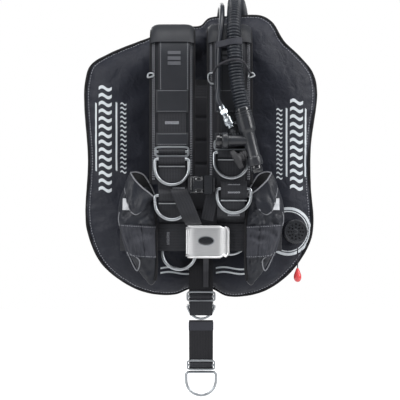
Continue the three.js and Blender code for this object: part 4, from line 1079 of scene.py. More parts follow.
for name in ("right", "left"):
    x = web_front_x[name] + (4 * MM if name == "right" else -4 * MM)
    cover = ribbon(on_front, 54 * MM, 1.5 * MM, x, count=90)
    piece(f"strap_cover_{name}", [skin(cover)], coated, sharp=60)
    path = spline(on_front, 400)
    normal = np.column_stack([np.zeros(400), np.gradient(path[:, 1]), -np.gradient(path[:, 0])])
    normal = -unit(normal) if normal[300, 1] > 0 else unit(normal)
    bars, threads = [], []
    for low_z, high_z in ((183.5, 189.8), (173.7, 179.9), (164.7, 171.0)):
        picked = path[(path[:, 1] > low_z * MM) & (path[:, 1] < high_z * MM) & (path[:, 0] < -90
                                                                                * MM)]
        picked = picked + np.array([-1.0 * MM, 0])
        bars.append(skin(ribbon(picked, 23 * MM, 1.0 * MM, x, count=12)))
    piece(f"cover_bars_{name}", bars, grey_print, sharp=60)
    for edge_side in (-1, 1):
        line = np.column_stack([np.full(400, x + edge_side * 24 * MM), path]) + 0.75 * MM * normal
        threads.append(stitches(line[4:-4], normal[4:-4], 4.0 * MM, 0.65 * MM, 0.1 * MM))
    piece(f"cover_stitching_{name}", threads, grey_thread)

over_top = (offset_line[0] + (WEB_OFFSET + WEB / 2 + 3.4 * MM) * outside)[:, 1:]
over_top = over_top[(over_top[:, 1] > 205 * MM) & (over_top[:, 0] < -58 * MM)]
arch_x = np.cos(np.linspace(0, math.pi, 40))
arch = 6.2 * MM * np.abs(arch_x) ** 7
for name, side in (("right", -1), ("left", 1)):
    path = np.column_stack([np.full(60, side * PAD_X), spline(over_top, 60)])
    top_out = outward_normals(path)
    upward = frames(path, (1, 0, 0))[2]
    facing = np.sign(np.sum(upward * np.where(top_out[:, 1:2] > 0, -top_out, top_out),
                            axis=1).mean())
    face = np.column_stack([39 * MM * arch_x, facing * (0.8 * MM - arch)])
    back = np.column_stack([-39 * MM * arch_x, facing * (-0.8 * MM - arch)])
    piece(f"top_keeper_{name}", [skin(sweep(path, np.vstack([face, back]), (1, 0, 0)))], coated,
          sharp=60)

# Tack bars of dense zigzag stitching where the webbing is folded and sewn.


def tack(x, z, y, width, height, rows=7):
    """A block of tight zigzag stitching facing forwards: rows of stitches one above another."""
    made = []
    for row in np.linspace(-height / 2, height / 2, rows):
        line = np.column_stack([np.linspace(x - width / 2, x + width / 2, 12), np.full(12, y),
                                np.full(12, z + row)])
        made.append(stitches(line, (0, -1, 0), 1.5 * MM, 0.55 * MM, 0.1 * MM, 0.9))
    return made


piece("webbing_tacks", tack(-52 * MM, 62 * MM, WEB_FRONT, 25 * MM, 4.5 * MM)
      + tack(53.5 * MM, 62 * MM, WEB_FRONT, 25 * MM, 4.5 * MM)
      + tack(-40 * MM, -55.5 * MM, WEB_FRONT, 22 * MM, 4 * MM), grey_thread)

# ---------------------------------------------------------------- rings and slides
# Polished stainless D-rings are captured under three-bar slides on the webbing. Each slide is a
# pressed frame with a knurled middle bar, and the webbing is woven over that bar.

steel = brushed("brushed_stainless", "steel", (0.74, 0.74, 0.74), (0.88, 0.88, 0.88), 0.4,
                (1.0, 1.0, 14.0))
ring_steel = moulded("polished_stainless", "steel", (0.36, 0.38, 0.40), (0.47, 0.49, 0.51), 0.34,
                     bump=0.02,
                     metallic=1.0, spread=0.06)


def d_ring(x, y, z, drop, half, wire):
    """A closed D of round wire: a bar at height z, two short legs and a half-round foot."""
    legs = max(drop - half, 0)
    reach = min(drop, half)
    turn = np.linspace(math.pi, 2 * math.pi, 60)
    curve = np.column_stack([x + half * np.cos(turn), z - legs + reach * np.sin(turn)])
    corner = 4.5 * MM
    bend = np.linspace(0, math.pi / 2, 8)
    right_up = np.column_stack([x + half - corner + corner * np.cos(bend),
                                z - corner + corner * np.sin(bend)])
    left_down = np.column_stack([x - half + corner - corner * np.sin(bend),
                                 z - corner + corner * np.cos(bend)])
    bar = np.column_stack([np.linspace(x + half - corner, x - half + corner, 24)[1:-1],
                           np.full(22, z)])
    line = np.vstack([curve, right_up, bar, left_down])
    keep_row = np.concatenate([[True], np.linalg.norm(np.diff(line, axis=0), axis=1) > 0.3 * MM])
    line = spline(line[keep_row], 150, closed=True)
    path = np.column_stack([line[:, 0], np.full(len(line), y), line[:, 1]])
    return skin(sweep(path, circle(wire, 16), (0, 1, 0), closed=True), along=True)


RING_Y, WIRE, RING_HALF = -105.4 * MM, 2.8 * MM, 30.2 * MM


def ring_piece(made, name, wire=WIRE, y=None, half=None, body=None):
    """A ring of wire in the place and size of its CAD node."""
    low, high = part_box(name)
    middle = (low + high) / 2
    piece(made,
          [d_ring(middle.x, middle.y if y is None else y, high.z - wire, high.z - low.z - 2 * wire,
                  (high.x - low.x) / 2 - wire if half is None else half, wire)], ring_steel,
          body=body or name, stands_for=[name])


for name in ("shoulder_ring_right", "shoulder_ring_left", "chest_ring_right", "chest_ring_left"):
    ring_piece(f"{name}_wire", name, y=RING_Y, half=RING_HALF)
for name in ("waist_ring_right", "waist_ring_left"):
    ring_piece(f"{name}_wire", name)


def slide_skins(x, y, z, half_x, half_z, wide, thick):
    """A three-bar slide: a rounded frame of flat bar and a knurled round bar across it."""
    turn = np.linspace(0, 2 * math.pi, 120, endpoint=False)
    corner = lambda v: np.sign(v) * np.abs(v) ** 0.3
    outline = spline(np.column_stack([(half_x - wide / 2) * corner(np.cos(turn)),
                                      (half_z - wide / 2) * corner(np.sin(turn))]), 140,
                     closed=True)
    path = np.column_stack([x + outline[:, 0], np.full(len(outline), y), z + outline[:, 1]])
    frame_skin = skin(sweep(path, squarish(thick, wide, 18, 0.4), (0, 1, 0), closed=True),
                      along=True)
    bar_x = np.linspace(x - half_x + wide * 0.6, x + half_x - wide * 0.6, 90)
    bar = np.column_stack([bar_x, np.full(90, y - 0.9 * MM), np.full(90, z)])
    grip = 1 + 0.07 * np.sign(np.sin(bar_x / MM * 2 * math.pi / 2.4))
    return [frame_skin,
            skin(sweep(bar, grip[:, None, None] * squarish(2.6 * MM, 4.6 * MM, 16, 0.6)[None],
                       (0, 1, 0)))]


def webbing_over(x, y, z, width, high, count=40):
    """The stretch of webbing that comes up through a slide and over its middle bar."""
    line = np.array([(y + 2.2 * MM, z + high), (y + 0.4 * MM, z + high * 0.62),
                     (y - 2.9 * MM, z + high * 0.22),
                     (y - 3.3 * MM, z), (y - 2.9 * MM, z - high * 0.22),
                     (y + 0.4 * MM, z - high * 0.62),
                     (y + 2.2 * MM, z - high)])
    return skin(ribbon(line, width, 1.6 * MM, x, count=count))


for name, body, wide, fold_width, fold_inset in (
        ("shoulder_slide_right", "root", 3.6, 48, 3.4),
        ("shoulder_slide_left", "root", 3.6, 48, 3.4),
        ("crotch_slide", "root", 3.4, 41, 3.2), ("crotch_end_slide", "crotch_tail", 3.4, 41, 3.2)):
    low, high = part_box(name)
    middle, half = (low + high) / 2, (high - low) / 2
    piece(f"{name}_frame", slide_skins(*middle, half.x, half.z, wide * MM, 2.4 * MM), ring_steel,
          body=body,
          stands_for=[name])
    piece(f"{name}_fold", [webbing_over(*middle, fold_width * MM, half.z - fold_inset * MM)],
          nylon_tape, body=body,
          sharp=60)

# The bar of each ring on the shoulders is wrapped by a tongue of webbing sewn down above and below
# it, and a thin steel keeper bar lies across the webbing under the tongue.


TONGUE, TONGUE_Y = 0.8 * MM, RING_Y - WIRE - 0.45 * MM


def tongue_line(bar_z, top, foot):
    """The (y, z) line of a short strap that rises over a ring's bar and comes back."""
    points = [(WEB_FRONT + 0.4 * MM, top), (WEB_FRONT - 0.9 * MM, top - 2 * MM),
              (TONGUE_Y, bar_z + 3 * MM), (TONGUE_Y, bar_z),
              (TONGUE_Y, bar_z - 3 * MM), (TONGUE_Y + 0.6 * MM, (bar_z - 3 * MM + foot) / 2),
              (WEB_FRONT - 0.9 * MM, foot + 1 * MM), (WEB_FRONT + 0.4 * MM, foot)]
    return spline(np.array(points), 70)


for name, x, z, up, down, bar_low in (
        ("shoulder_right", -52, -3, 5, 10, 13), ("shoulder_left", 53.5, 9, 6, 10, 13),
        ("chest_right", -52, -68, 12, 12, 14), ("chest_left", 58.5, -56, 14, 17, 21)):
    wrap = tongue_line(z * MM, (z + up) * MM, (z - down) * MM)
    piece(f"{name}_ring_tongue", [skin(ribbon(wrap, 47 * MM, TONGUE, x * MM, count=70))],
          nylon_tape, sharp=60)
    across = np.column_stack([np.linspace(x - 23.5, x + 23.5, 40) * MM,
                              np.full(40, WEB_FRONT - 1.1 * MM),
                              np.full(40, (z - bar_low) * MM)])
    piece(f"{name}_keeper_bar", [skin(sweep(across, circle(1.3 * MM, 14), (0, 1, 0)))], ring_steel)
tongue_tacks = tack(58.5 * MM, -103 * MM, WEB_FRONT + 0.6 * MM, 22 * MM, 2.5 * MM, 4)
for z in (-49.5 * MM, -62.5 * MM):
    y = float(np.interp(-z, -wrap[:, 1], wrap[:, 0])) - TONGUE / 2
    tongue_tacks += tack(58.5 * MM, z, y + 0.1 * MM, 22 * MM, 2.5 * MM, 4)
piece("tongue_tacks", tongue_tacks, grey_thread)

# ---------------------------------------------------------------- chest buckle and strap
# A moulded side-release buckle joins the two short sternum straps. The left half carries the three
# tongues and slides out of the right half, and its strap turns round its outer bar.

gloss_plastic = moulded("glossy_nylon", "plastic", (0.010, 0.011, 0.013), (0.018, 0.019, 0.022),
                        0.2, bump=0.04,
                        Coat_Weight=0.5, Coat_Roughness=0.12)
keep(gloss_plastic, "chest_buckle_plug")
low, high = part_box("chest_buckle_socket")
rows, cols = 90, 110
u, v = np.meshgrid(np.linspace(-1, 1, cols), np.linspace(-1, 1, rows))
soft_corner = (1 - np.abs(u) ** 12) ** 0.5 * (1 - np.abs(v) ** 12) ** 0.5
shell_x = (low.x + high.x) / 2 + (high.x - low.x) / 2 * u * (1 - 0.05 * v**10)
waist_in = 1 - 0.07 * np.exp(-((u - 0.35) / 0.35) ** 2)
shell_z = (low.z + high.z) / 2 + (high.z - low.z) / 2 * v * waist_in
window = np.exp(-(((np.abs(v) - 0.68) / 0.13) ** 4 + ((u - 0.3) / 0.45) ** 4))
ridge = 0.12 * np.exp(-((u + 0.72) / 0.05) ** 2) + 0.12 * np.exp(-((u + 0.55) / 0.05) ** 2)
thick = high.y - low.y
shell_y = high.y - thick * (0.35 + (0.6 + ridge) * soft_corner * (1 - 0.45 * window) - 0.06 * v * v)
piece("chest_buckle_shell",
      [pillow(sheet(shell_x, shell_y, shell_z), sheet(shell_x, np.full_like(u, high.y), shell_z))],
      gloss_plastic, stands_for=["chest_buckle_socket"], sharp=50)
low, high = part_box("chest_strap_right")
right_line = np.array([(high.y - 1 * MM, -18 * MM), (high.y - 1.2 * MM, -21.2 * MM),
                       (low.y + 1.6 * MM, -21.4 * MM),
                       (low.y + 0.8 * MM, -19.8 * MM)])


def upright_ribbon(line, width, thick, z, count=80):
    """A flat strap that runs along a line of (y, x) points, with its width up and down."""
    path = spline(line, count)
    centre = np.column_stack([path[:, 1], path[:, 0], np.full(count, z)])
    return sweep(centre, squarish(width, thick, 36, 0.22), (0, 0, 1))


middle_z = (low.z + high.z) / 2
piece("sternum_strap_right", [skin(upright_ribbon(right_line, high.z - low.z, 2 * MM, middle_z))],
      nylon_tape,
      stands_for=["chest_strap_right"])
low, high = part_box("chest_strap_left")
left_line = np.array([((low.y + high.y) / 2 + 1.2 * MM, low.x + 0.2 * MM),
                      ((low.y + high.y) / 2 - 1.4 * MM, low.x + 1.8 * MM),
                      ((low.y + high.y) / 2 - 0.6 * MM, high.x - 3.0 * MM),
                      ((low.y + high.y) / 2 + 1.2 * MM, high.x - 2.2 * MM)])
piece("sternum_strap_left", [skin(upright_ribbon(left_line, high.z - low.z, 2 * MM, middle_z))],
      nylon_tape,
      body="chest_plug", stands_for=["chest_strap_left"])

# ---------------------------------------------------------------- diagonal straps
# Two narrow adjusting straps come off the shoulder webbing between the rings and lean in towards
# the waist buckle. The right one has a folded and tacked top.

for name, x, width, lean_rate, points in (
        ("right", -14, 29, -0.43,
         [(-102.6, -59), (-109.2, -58), (-113.2, -61.5), (-113.2, -85), (-112.5, -104),
          (-104.2, -114.5), (-93.2, -120)]),
        ("left", 9, 23, 0.22, [(-98.5, -63), (-98.5, -90), (-97.5, -112)])):
    shift = lambda path, x=x, rate=lean_rate: x * MM + rate * (path[:, 1] + 118 * MM)
    strap = ribbon(np.array(points) * MM, width * MM, 2 * MM, lean=shift, count=90)
    piece(f"diagonal_webbing_{name}", [skin(strap)], nylon_tape,
          stands_for=[f"diagonal_strap_{name}"])
fold_z = np.linspace(-66, -76, 6) * MM
fold_x = -14 * MM - 0.43 * (fold_z + 118 * MM)
piece("diagonal_tack", tack(float(fold_x.mean()), -71 * MM, -114.2 * MM, 17 * MM, 5 * MM),
      grey_thread)

# ---------------------------------------------------------------- waist belt and buckle
# The belt webbing leaves the plate, goes round each hip through the pocket and meets at a stainless
# cam buckle: a slotted plate, and a pressed lever with rolled edges that pivots on its left ears.

BELT_Y, BELT_Z, BELT = -72 * MM, -144 * MM, 3 * MM
for name, side, end_x in (("right", -1, 9.5), ("left", 1, 13.5)):
    line = np.array([(-16.2, 62 * side), (-24, 78 * side), (-38, 100 * side), (-49, 132 * side),
                     (-60, 147 * side),
                     (-70, 139 * side), (-72, 112 * side), (-72, 80 * side),
                     (-72, (80 + end_x * side) / 2 * side),
                     (-72, end_x)]) * MM
    belt = upright_ribbon(line, WEB_WIDTH, BELT, BELT_Z, 260)
    piece(f"belt_webbing_{name}", [skin(belt)], nylon_tape, stands_for=[f"waist_belt_{name}"])
keep(steel, "waist_buckle_base")
low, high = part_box("waist_buckle_lever")
face_z, face_half = (low.z + high.z) / 2, (high.z - low.z) / 2
lever_line = np.array([(-81.1, -24.5), (-84.1, -12.5), (-84.9, 5), (-84.6, 21.5), (-83.4, 33),
                       (-79.6, 42.5),
                       (-78.2, 47), (-79.6, 51)]) * MM
line = spline(lever_line, 120)
rows = 120
v = np.linspace(-1, 1, 70)
lever_x = np.repeat(line[:, 1][None], 70, 0)
flare = np.interp(line[:, 1] / MM, [-24.5, 34, 41, 45, 51.5], [1, 1, 0.86, 0.96, 0.9])
end_round = np.sqrt(np.clip(1 - (smooth_step(44 * MM, 52.5 * MM, line[:, 1]) * 0.5), 0, 1))
lever_z = face_z + face_half * v[:, None] * (flare * end_round)[None]
rolled = 1.5 * MM * np.exp(-((1 - np.abs(v)) / 0.07) ** 2)
lever_y = line[:, 0][None] - rolled[:, None] * smooth_step(-20 * MM, -10 * MM, line[:, 1])[None]
plate_front = np.stack([lever_x, lever_y, lever_z], -1)
plate_back = plate_front + np.array([0, 1.6 * MM, 0])
rolls = []
for z_side in (-1, 1):
    edge = np.column_stack([line[6:104, 1], line[6:104, 0] - 0.3 * MM,
                            face_z + z_side * (face_half - 1.5 * MM) * (flare * end_round)[6:104]])
    rolls.append(skin(sweep(edge, circle(1.7 * MM, 14), (0, 0, 1))))
hinge_z = np.linspace(face_z - face_half + 7 * MM, face_z + face_half - 7 * MM, 30)
hinge = np.column_stack([np.full(30, -24.5 * MM), np.full(30, -80.1 * MM), hinge_z])
rolls.append(skin(sweep(hinge, circle(3.3 * MM, 20), (1, 0, 0))))
lip = np.column_stack([np.full(30, 50.2 * MM), np.full(30, -79.9 * MM),
                       np.linspace(face_z - 21 * MM, face_z + 21 * MM, 30)])
rolls.append(skin(sweep(lip, circle(1.6 * MM, 14), (1, 0, 0))))
piece("cam_buckle_lever", [pillow(plate_front, plate_back)] + rolls, steel, body="waist_lever",
      stands_for=["waist_buckle_lever"], sharp=50)
badge_x, badge_z, badge_y = 9 * MM, -150 * MM, -84.7 * MM


def oval(half_x, half_z, back, front, dome):
    """An oval button facing forwards: flat back, upright wall and a slightly domed face."""
    shares = np.array([0.001, 0.5, 0.8, 0.94, 1.0, 1.0, 1.0])
    depth = np.array([front - dome, front - dome * 0.8, front - dome * 0.45, front - dome * 0.15,
                      front + 0.1 * MM,
                      (front + back) / 2, back])
    turn = np.linspace(0, 2 * math.pi, 72, endpoint=False)
    ring = np.stack([np.outer(shares, half_x * np.cos(turn)) + badge_x,
                     np.repeat(depth[:, None], 72, 1),
                     np.outer(shares, half_z * np.sin(turn)) + badge_z], -1)
    return skin(ring)


piece("badge_rim", [oval(15 * MM, 8.6 * MM, badge_y + 0.6 * MM, badge_y - 0.7 * MM, 0.1 * MM)],
      ring_steel, body="waist_lever")
piece("badge_face", [oval(13.4 * MM, 7.2 * MM, badge_y, badge_y - 0.9 * MM, 0.5 * MM)],
      gloss_plastic, body="waist_lever")
piece("belt_tack", tack(-60 * MM, -146 * MM, BELT_Y - BELT / 2, 5 * MM, 22 * MM, 15), grey_thread)

# ---------------------------------------------------------------- pockets
# A weight pocket on each hip: a nylon bag with a slanted mouth at its inner top corner, an elastic
# band round its middle, piping along its seams and a tapering tail below.

pocket_outline = [(-128, -28), (-112, -40), (-93, -54), (-84, -68), (-80, -84), (-79.5, -130),
                  (-79.5, -180),
                  (-80.5, -212), (-84, -226), (-91, -231), (-100, -222), (-112, -207), (-124, -186),
                  (-133, -168),
                  (-143, -143), (-150, -118), (-151, -95), (-147, -72), (-141, -56), (-135, -38)]
POCKET_BACK, POCKET_DEPTH = -74 * MM, 27 * MM
pocket_nylon = fabric("pocket_nylon", "cordura", (0.008, 0.009, 0.013), (0.022, 0.024, 0.031), 0.45,
                      bump=0.8,
                      threads=2200.0, dents=0.003, sheen=0.05)
elastic = fabric("elastic_band", "cordura", (0.022, 0.023, 0.030), (0.042, 0.044, 0.054), 0.7,
                 bump=0.5, threads=3600.0,
                 dents=0.0009)
piping_finish = moulded("light_piping", "binding", (0.15, 0.155, 0.17), (0.24, 0.245, 0.265), 0.55)
label_finish = moulded("blank_label", "cordura", (0.42, 0.43, 0.45), (0.52, 0.53, 0.55), 0.55)
for name, side in (("right", 1), ("left", -1)):
    rim = spline(np.array(pocket_outline) * MM, 220, closed=True)
    centre = np.array([-113 * MM, -128 * MM])
    out_share = 1 - np.linspace(0, 1, 34) ** 1.3
    flat = centre + (rim - centre)[:, None, :] * out_share[None, :, None]
    rise = (1 - out_share**2.6) ** 0.55
    height_z = flat[..., 1]
    pinch = 1 - 0.22 * np.exp(-((height_z + 138 * MM) / (17 * MM)) ** 2)
    thin_tail = 0.42 + 0.58 * smooth_step(-226 * MM, -150 * MM, height_z)
    thin_top = 0.55 + 0.45 * smooth_step(-28 * MM, -80 * MM, height_z)
    front = POCKET_BACK - 2.5 * MM - (POCKET_DEPTH
                                      - 3.5 * MM) * rise[None] * pinch * thin_tail * thin_top
    wrinkle = folds(flat, 0.024, 6, 3 + side) * smooth_step(0, 0.3, 1 - out_share)[None]
    front = front + 2.0 * MM * wrinkle
    front_rows = np.stack([side * flat[..., 0], front, flat[..., 1]], -1)
    back_rows = np.stack([side * flat[..., 0], np.full_like(front, POCKET_BACK - 0.2 * MM),
                          flat[..., 1]], -1)
    bag_grid = np.concatenate([front_rows[:, ::-1], back_rows], axis=1)
    sewn = np.zeros(bag_grid.shape[:2])
    sewn[:, 33:] = 1.0
    bag_grid = puffed(bag_grid, sewn, 3.0, 5 * MM)
    bag_grid[:, 33:, 1] = POCKET_BACK - 0.2 * MM
    bag_grid = finer(bag_grid, 440, 136, along=True)
    bag_grid[..., 1] = np.minimum(bag_grid[..., 1], POCKET_BACK - 0.2 * MM)
    bag = piece(f"pocket_bag_{name}", [skin(bag_grid, along=True)], pocket_nylon,
                stands_for=[f"pocket_{name}"], sharp=60)
    front_half = bag_grid[:, :64].reshape(-1, 3)

    def on_bag(x, z, lift, points=front_half):
        """Points on the pocket's front at the given x and z, lifted forwards."""
        gap = np.hypot(points[None, :, 0] - x[:, None], points[None, :, 2] - z[:, None])
        nearest = np.argsort(gap, axis=1)[:, :12]
        weight = 1 / (np.take_along_axis(gap, nearest, 1) + 0.5 * MM)
        y = (points[nearest, 1] * weight).sum(1) / weight.sum(1)
        return np.column_stack([x, y - lift, z])

    def seam(points, count=90, lift=0.6 * MM):
        """A smooth line over the pocket's front through the given (x, z) points."""
        line = spline(np.array(points) * MM, count)
        line = on_bag(side * line[:, 0], line[:, 1], lift)
        line[2:-2, 1] = (line[:-4, 1] + line[1:-3, 1] + line[2:-2, 1] + line[3:-1, 1]
                         + line[4:, 1]) / 5
        return line

    pipes = []
    for points in ([(-95, -80), (-106, -95), (-117, -102), (-126, -97)],
                   [(-147, -98), (-149, -112), (-147, -122)],
                   [(-134, -170), (-116, -204), (-111, -184), (-134, -170)],
                   [(-138, -55), (-133, -76), (-127, -96)]):
        pipes.append(skin(sweep(seam(points), circle(1.1 * MM, 12), (0, 1, 0))))
    piece(f"pocket_piping_{name}", pipes, piping_finish)
    edge = seam([(-83, -72), (-81.5, -110), (-81, -160), (-80.5, -200), (-83, -222)], lift=1.6 * MM)
    piece(f"pocket_edge_tube_{name}", [skin(sweep(edge, circle(2.6 * MM, 16), (0, 1, 0)))],
          tape_weave)
    front_rim = seam([(-128, -27), (-118, -41), (-105, -54), (-92, -64), (-84, -71)], count=70,
                     lift=2.4 * MM)
    front_rim[:, 1] = np.minimum(front_rim[:, 1],
                                 np.interp(np.linspace(0, 1, 70), [0, 0.25, 1],
                                           [-80 * MM, -93 * MM, -98 * MM]))
    back_rim = spline(np.array([(-128, -80, -26.5), (-117, -77, -25.5), (-105, -75.5, -30),
                                (-96, -75.5, -42),
                                (-88, -77, -57), (-83, -84, -70)]) * MM,
                      70) * np.array([side, 1, 1])
    # A sheet sagging between the front and back rims closes the mouth. It takes the darkest tape finish
    # as painted shade of the hollow inside the pocket.
    mouth_share = np.linspace(0, 1, 16)[:, None, None]
    sag = (np.array([0, 0, -1.0]) * 9 * MM * np.sin(math.pi * mouth_share)
           * np.sin(np.linspace(0, math.pi, 70))[None, :, None])
    hollow_shade_sheet = front_rim[None] * (1 - mouth_share) + back_rim[None] * mouth_share + sag
    piece(f"pocket_hollow_shade_{name}", [pillow(hollow_shade_sheet, hollow_shade_sheet + np.array([0, 0, -1.0 * MM]))],
          tape_weave, sharp=70)
    rims = [skin(sweep(line, circle(1.4 * MM, 12), (0, 1, 0))) for line in (front_rim, back_rim)]
    piece(f"pocket_mouth_{name}", rims, piping_finish)
    top = front_rim + np.array([0, -0.3 * MM, -0.6 * MM])
    foot = seam([(-138, -55), (-132, -84), (-118, -101), (-104, -95), (-90, -79)], count=70,
                lift=2.0 * MM)
    down = np.linspace(0, 1, 40)[:, None, None]
    panel = top[None] * (1 - down) + foot[None] * down
    panel[..., 1] -= 4.0 * MM * np.sin(math.pi * down[..., 0]) * (0.6
                                                                  + 0.4
                                                                  * np.sin(np.linspace(0, 9, 70)
                                                                           + 3 * down[..., 0]))
    piece(f"pocket_collar_{name}", [pillow(panel, panel + np.array([0, 1.4 * MM, 0]))],
          pocket_nylon, sharp=70)
    z_run = np.linspace(-179, -121, 50) * MM
    u = np.linspace(-1, 1, 90)
    band_front = []
    for z in z_run:
        left = np.interp(-z, [0.121, 0.145, 0.179], [-147.5 * MM, -143.5 * MM, -134 * MM])
        x = side * np.linspace(left, -79 * MM, 90)
        fold = 0.55 * MM * np.cos(np.linspace(0, 2 * math.pi * 9, 90) + 1.1 * np.sin(z * 130))
        crease = 1.3 * MM * (np.exp(-((u + 0.35) / 0.035) ** 2) + np.exp(-((u - 0.2) / 0.03) ** 2))
        slope = 0.06 * (x * side + 113 * MM)
        row = on_bag(x, np.full(90, z), 0)
        row[:, 2] -= slope
        row[:, 1] -= (2.6 * MM + fold - crease) * (1 - np.abs(u) ** 10)
        band_front.append(row)
    band_front = np.array(band_front)
    for _ in range(3):
        band_front[1:-1, :, 1] = (band_front[:-2, :, 1] + band_front[1:-1, :, 1] * 2
                                  + band_front[2:, :, 1]) / 4
    piece(f"pocket_elastic_{name}", [pillow(band_front, band_front + np.array([0, 2.0 * MM, 0]))],
          elastic, sharp=60)
    rows_of_thread = []
    for row in (2, -3):
        line = band_front[row, 3:-3] + np.array([0, -0.1 * MM, 0])
        rows_of_thread.append(stitches(line, (0, -1, 0), 4.0 * MM, 0.7 * MM, 0.1 * MM))
    piece(f"pocket_stitching_{name}", rows_of_thread, grey_thread)
    patch_x, patch_z = np.meshgrid(side * np.linspace(-141, -129.5, 10) * MM,
                                   np.linspace(-94, -73, 14) * MM)
    patch = on_bag(patch_x.ravel(), patch_z.ravel(), 0.9 * MM).reshape(14, 10, 3)
    piece(f"pocket_label_{name}", [pillow(patch, patch + np.array([0, 0.7 * MM, 0]))], label_finish,
          sharp=60)

# ---------------------------------------------------------------- crotch strap
# The crotch strap hangs from the bottom of the plate. Its upper part ends in a slide and a small
# ring, and a doubled tail swings from that ring and carries the rear towing ring.

CROTCH_WIDTH, CROTCH_Y = 45 * MM, -38 * MM
low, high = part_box("crotch_strap")
upper_line = np.array([(-15.75, -142), (-16.75, -164), (-28, -180), (-36, -196), (-38, -222),
                       (-38, -250),
                       (-38, low.z / MM)]) * MM
dark_tape = tape("dark_webbing", "webbing", (0.004, 0.004, 0.006), (0.009, 0.009, 0.012))
piece("crotch_webbing", [skin(ribbon(upper_line, CROTCH_WIDTH, WEB, 0.0, count=120))], dark_tape,
      stands_for=["crotch_strap"])
ring_piece("crotch_ring_wire", "crotch_ring", 2.4 * MM, CROTCH_Y, body="root")
wrap = np.array([(-39, -263), (-42.6, -266), (-43.6, -272), (-43.6, -280), (-42.8, -288),
                 (-40, -290.5)]) * MM
piece("crotch_ring_fold", [skin(ribbon(wrap, 42.5 * MM, 1.3 * MM, 0.0, count=60))], nylon_tape,
      sharp=60)
low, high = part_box("crotch_tail")
tail_front = low.y + 1.1 * MM
tail_line = np.array([(high.y - 1.2 * MM, low.z + 1 * MM), (high.y - 1.2 * MM, low.z + 30 * MM),
                      (high.y - 1.2 * MM, high.z - 4 * MM), (CROTCH_Y, high.z - 0.6 * MM),
                      (tail_front, high.z - 4 * MM),
                      (tail_front, low.z + 30 * MM), (tail_front, low.z + 1 * MM)])
# The tail webbing is coloured darker than the harness webbing.
crotch_tape = tape("darker_tail_webbing", "webbing", (0.006, 0.006, 0.008), (0.014, 0.014, 0.017))
piece("crotch_tail_webbing", [skin(ribbon(tail_line, CROTCH_WIDTH, 2.1 * MM, 0.0, count=200))],
      crotch_tape,
      body="crotch_tail", stands_for=["crotch_tail"])
u, v = np.meshgrid(np.linspace(-1, 1, 40), np.linspace(-1, 1, 16))
band_z = high.z - 11 * MM + 8 * MM * v
face = sheet(CROTCH_WIDTH / 2 * 1.03 * u,
             low.y - 1.2 * MM * (1 - np.abs(u) ** 12) * (1 - 0.3 * v**6), band_z)
back = sheet(CROTCH_WIDTH / 2 * 1.03 * u, np.full_like(u, low.y + 0.2 * MM), band_z)
piece("crotch_elastic", [pillow(face, back)], elastic, body="crotch_tail", sharp=60)
ring_piece("towing_ring_wire", "crotch_end_ring", y=CROTCH_Y)
ribbon_tab = tape("narrow_ribbon", "webbing", (0.020, 0.020, 0.024), (0.040, 0.040, 0.046))
tab_line = np.array([(-69.4, -174), (-66, -182), (-52, -194), (-44, -206), (-42.4, -222),
                     (-42.6, -238)]) * MM
piece("buckle_pull_tab", [skin(ribbon(tab_line, 10 * MM, 1.2 * MM, 9 * MM, count=80))], ribbon_tab)

# ---------------------------------------------------------------- inflator
# The power inflator at the end of the corrugated hose: a cuff, a head with an inflate button on its
# side barrel and a deflate button in its foot, an oval mouthpiece and a quick coupling with a
# knurled sliding sleeve.

inflator_axis = unit(np.array([0.236, 0, -0.972]))
inflator_top = np.array([73.5, -122, 80]) * MM


def on_inflator(distance):
    """Point on the inflator's own axis, a distance in millimetres below the hose's end."""
    return inflator_top + distance * MM * inflator_axis


def profile(pairs):
    """Outline rows in millimetres turned to metres."""
    return [(a * MM, r * MM) for a, r in pairs]


cuff = [(0.2, 12), (0.4, 14.2), (1.2, 15), (3.5, 15), (4, 14.3), (5.5, 14.3), (6, 15), (8.5, 15),
        (9, 14.3), (10.5, 14.3),
        (11, 15), (31, 15), (34.5, 14.6), (37, 13.2), (38.5, 11.8), (40, 11.5), (60, 11.5),
        (80, 11.5), (82.5, 12.2),
        (83.6, 13.2), (85, 13.4), (96.4, 13.4), (97.6, 12.9), (98, 12.2), (98, 10.2), (96.6, 10.0)]
body_skins = [lathe(on_inflator(0), on_inflator(98), profile(cuff), 48)]
barrel_z, inflator_y = 29 * MM, -122 * MM
barrel = [(0, 7.2), (0.6, 8.9), (2, 9.7), (38, 9.7), (38.6, 11.5), (39.5, 14), (41, 14.5),
          (47, 14.5), (48.4, 14.0), (49, 13.2),
          (49, 12.2), (48, 11.9)]
body_skins.append(lathe((86 * MM, inflator_y, barrel_z), (37 * MM, inflator_y, barrel_z),
                        profile(barrel), 44))
nipple_top = np.array([54, -122, 50]) * MM
nipple = [(0, 4.8), (6, 5), (10, 5), (10.8, 6.2), (12.6, 6.2), (13.2, 5), (16.6, 4.9), (17.1, 4.2)]
body_skins.append(lathe(np.array([60, -122, 33]) * MM, nipple_top, profile(nipple), 28))
ribs = []
for angle in np.radians([-150, -110, -70, -30]):
    side = np.array([math.cos(angle) * 0.972, math.sin(angle), math.cos(angle) * 0.236])
    line = np.array([on_inflator(d) + 14.9 * MM * side for d in np.linspace(14, 31, 20)])
    ribs.append(skin(sweep(line, squarish(2.2 * MM, 1.4 * MM, 14, 0.5), side)))
piece("inflator_housing", body_skins + ribs, satin_plastic, stands_for=["inflator_body"], sharp=40)
button = [(0, 8.6), (0.5, 9), (9, 9), (9.2, 10.6), (9.8, 11.4), (10.8, 11.5), (15.2, 11.5),
          (16.1, 11), (16.5, 10), (16.5, 8.4),
          (15.9, 7.6), (15.6, 4), (15.6, 0.2)]
piece("inflate_push_button",
      [lathe((42.5 * MM, inflator_y, barrel_z), (26 * MM, inflator_y, barrel_z), profile(button),
             40)],
      gloss_plastic, body="inflate_button", stands_for=["inflate_button"], sharp=40)
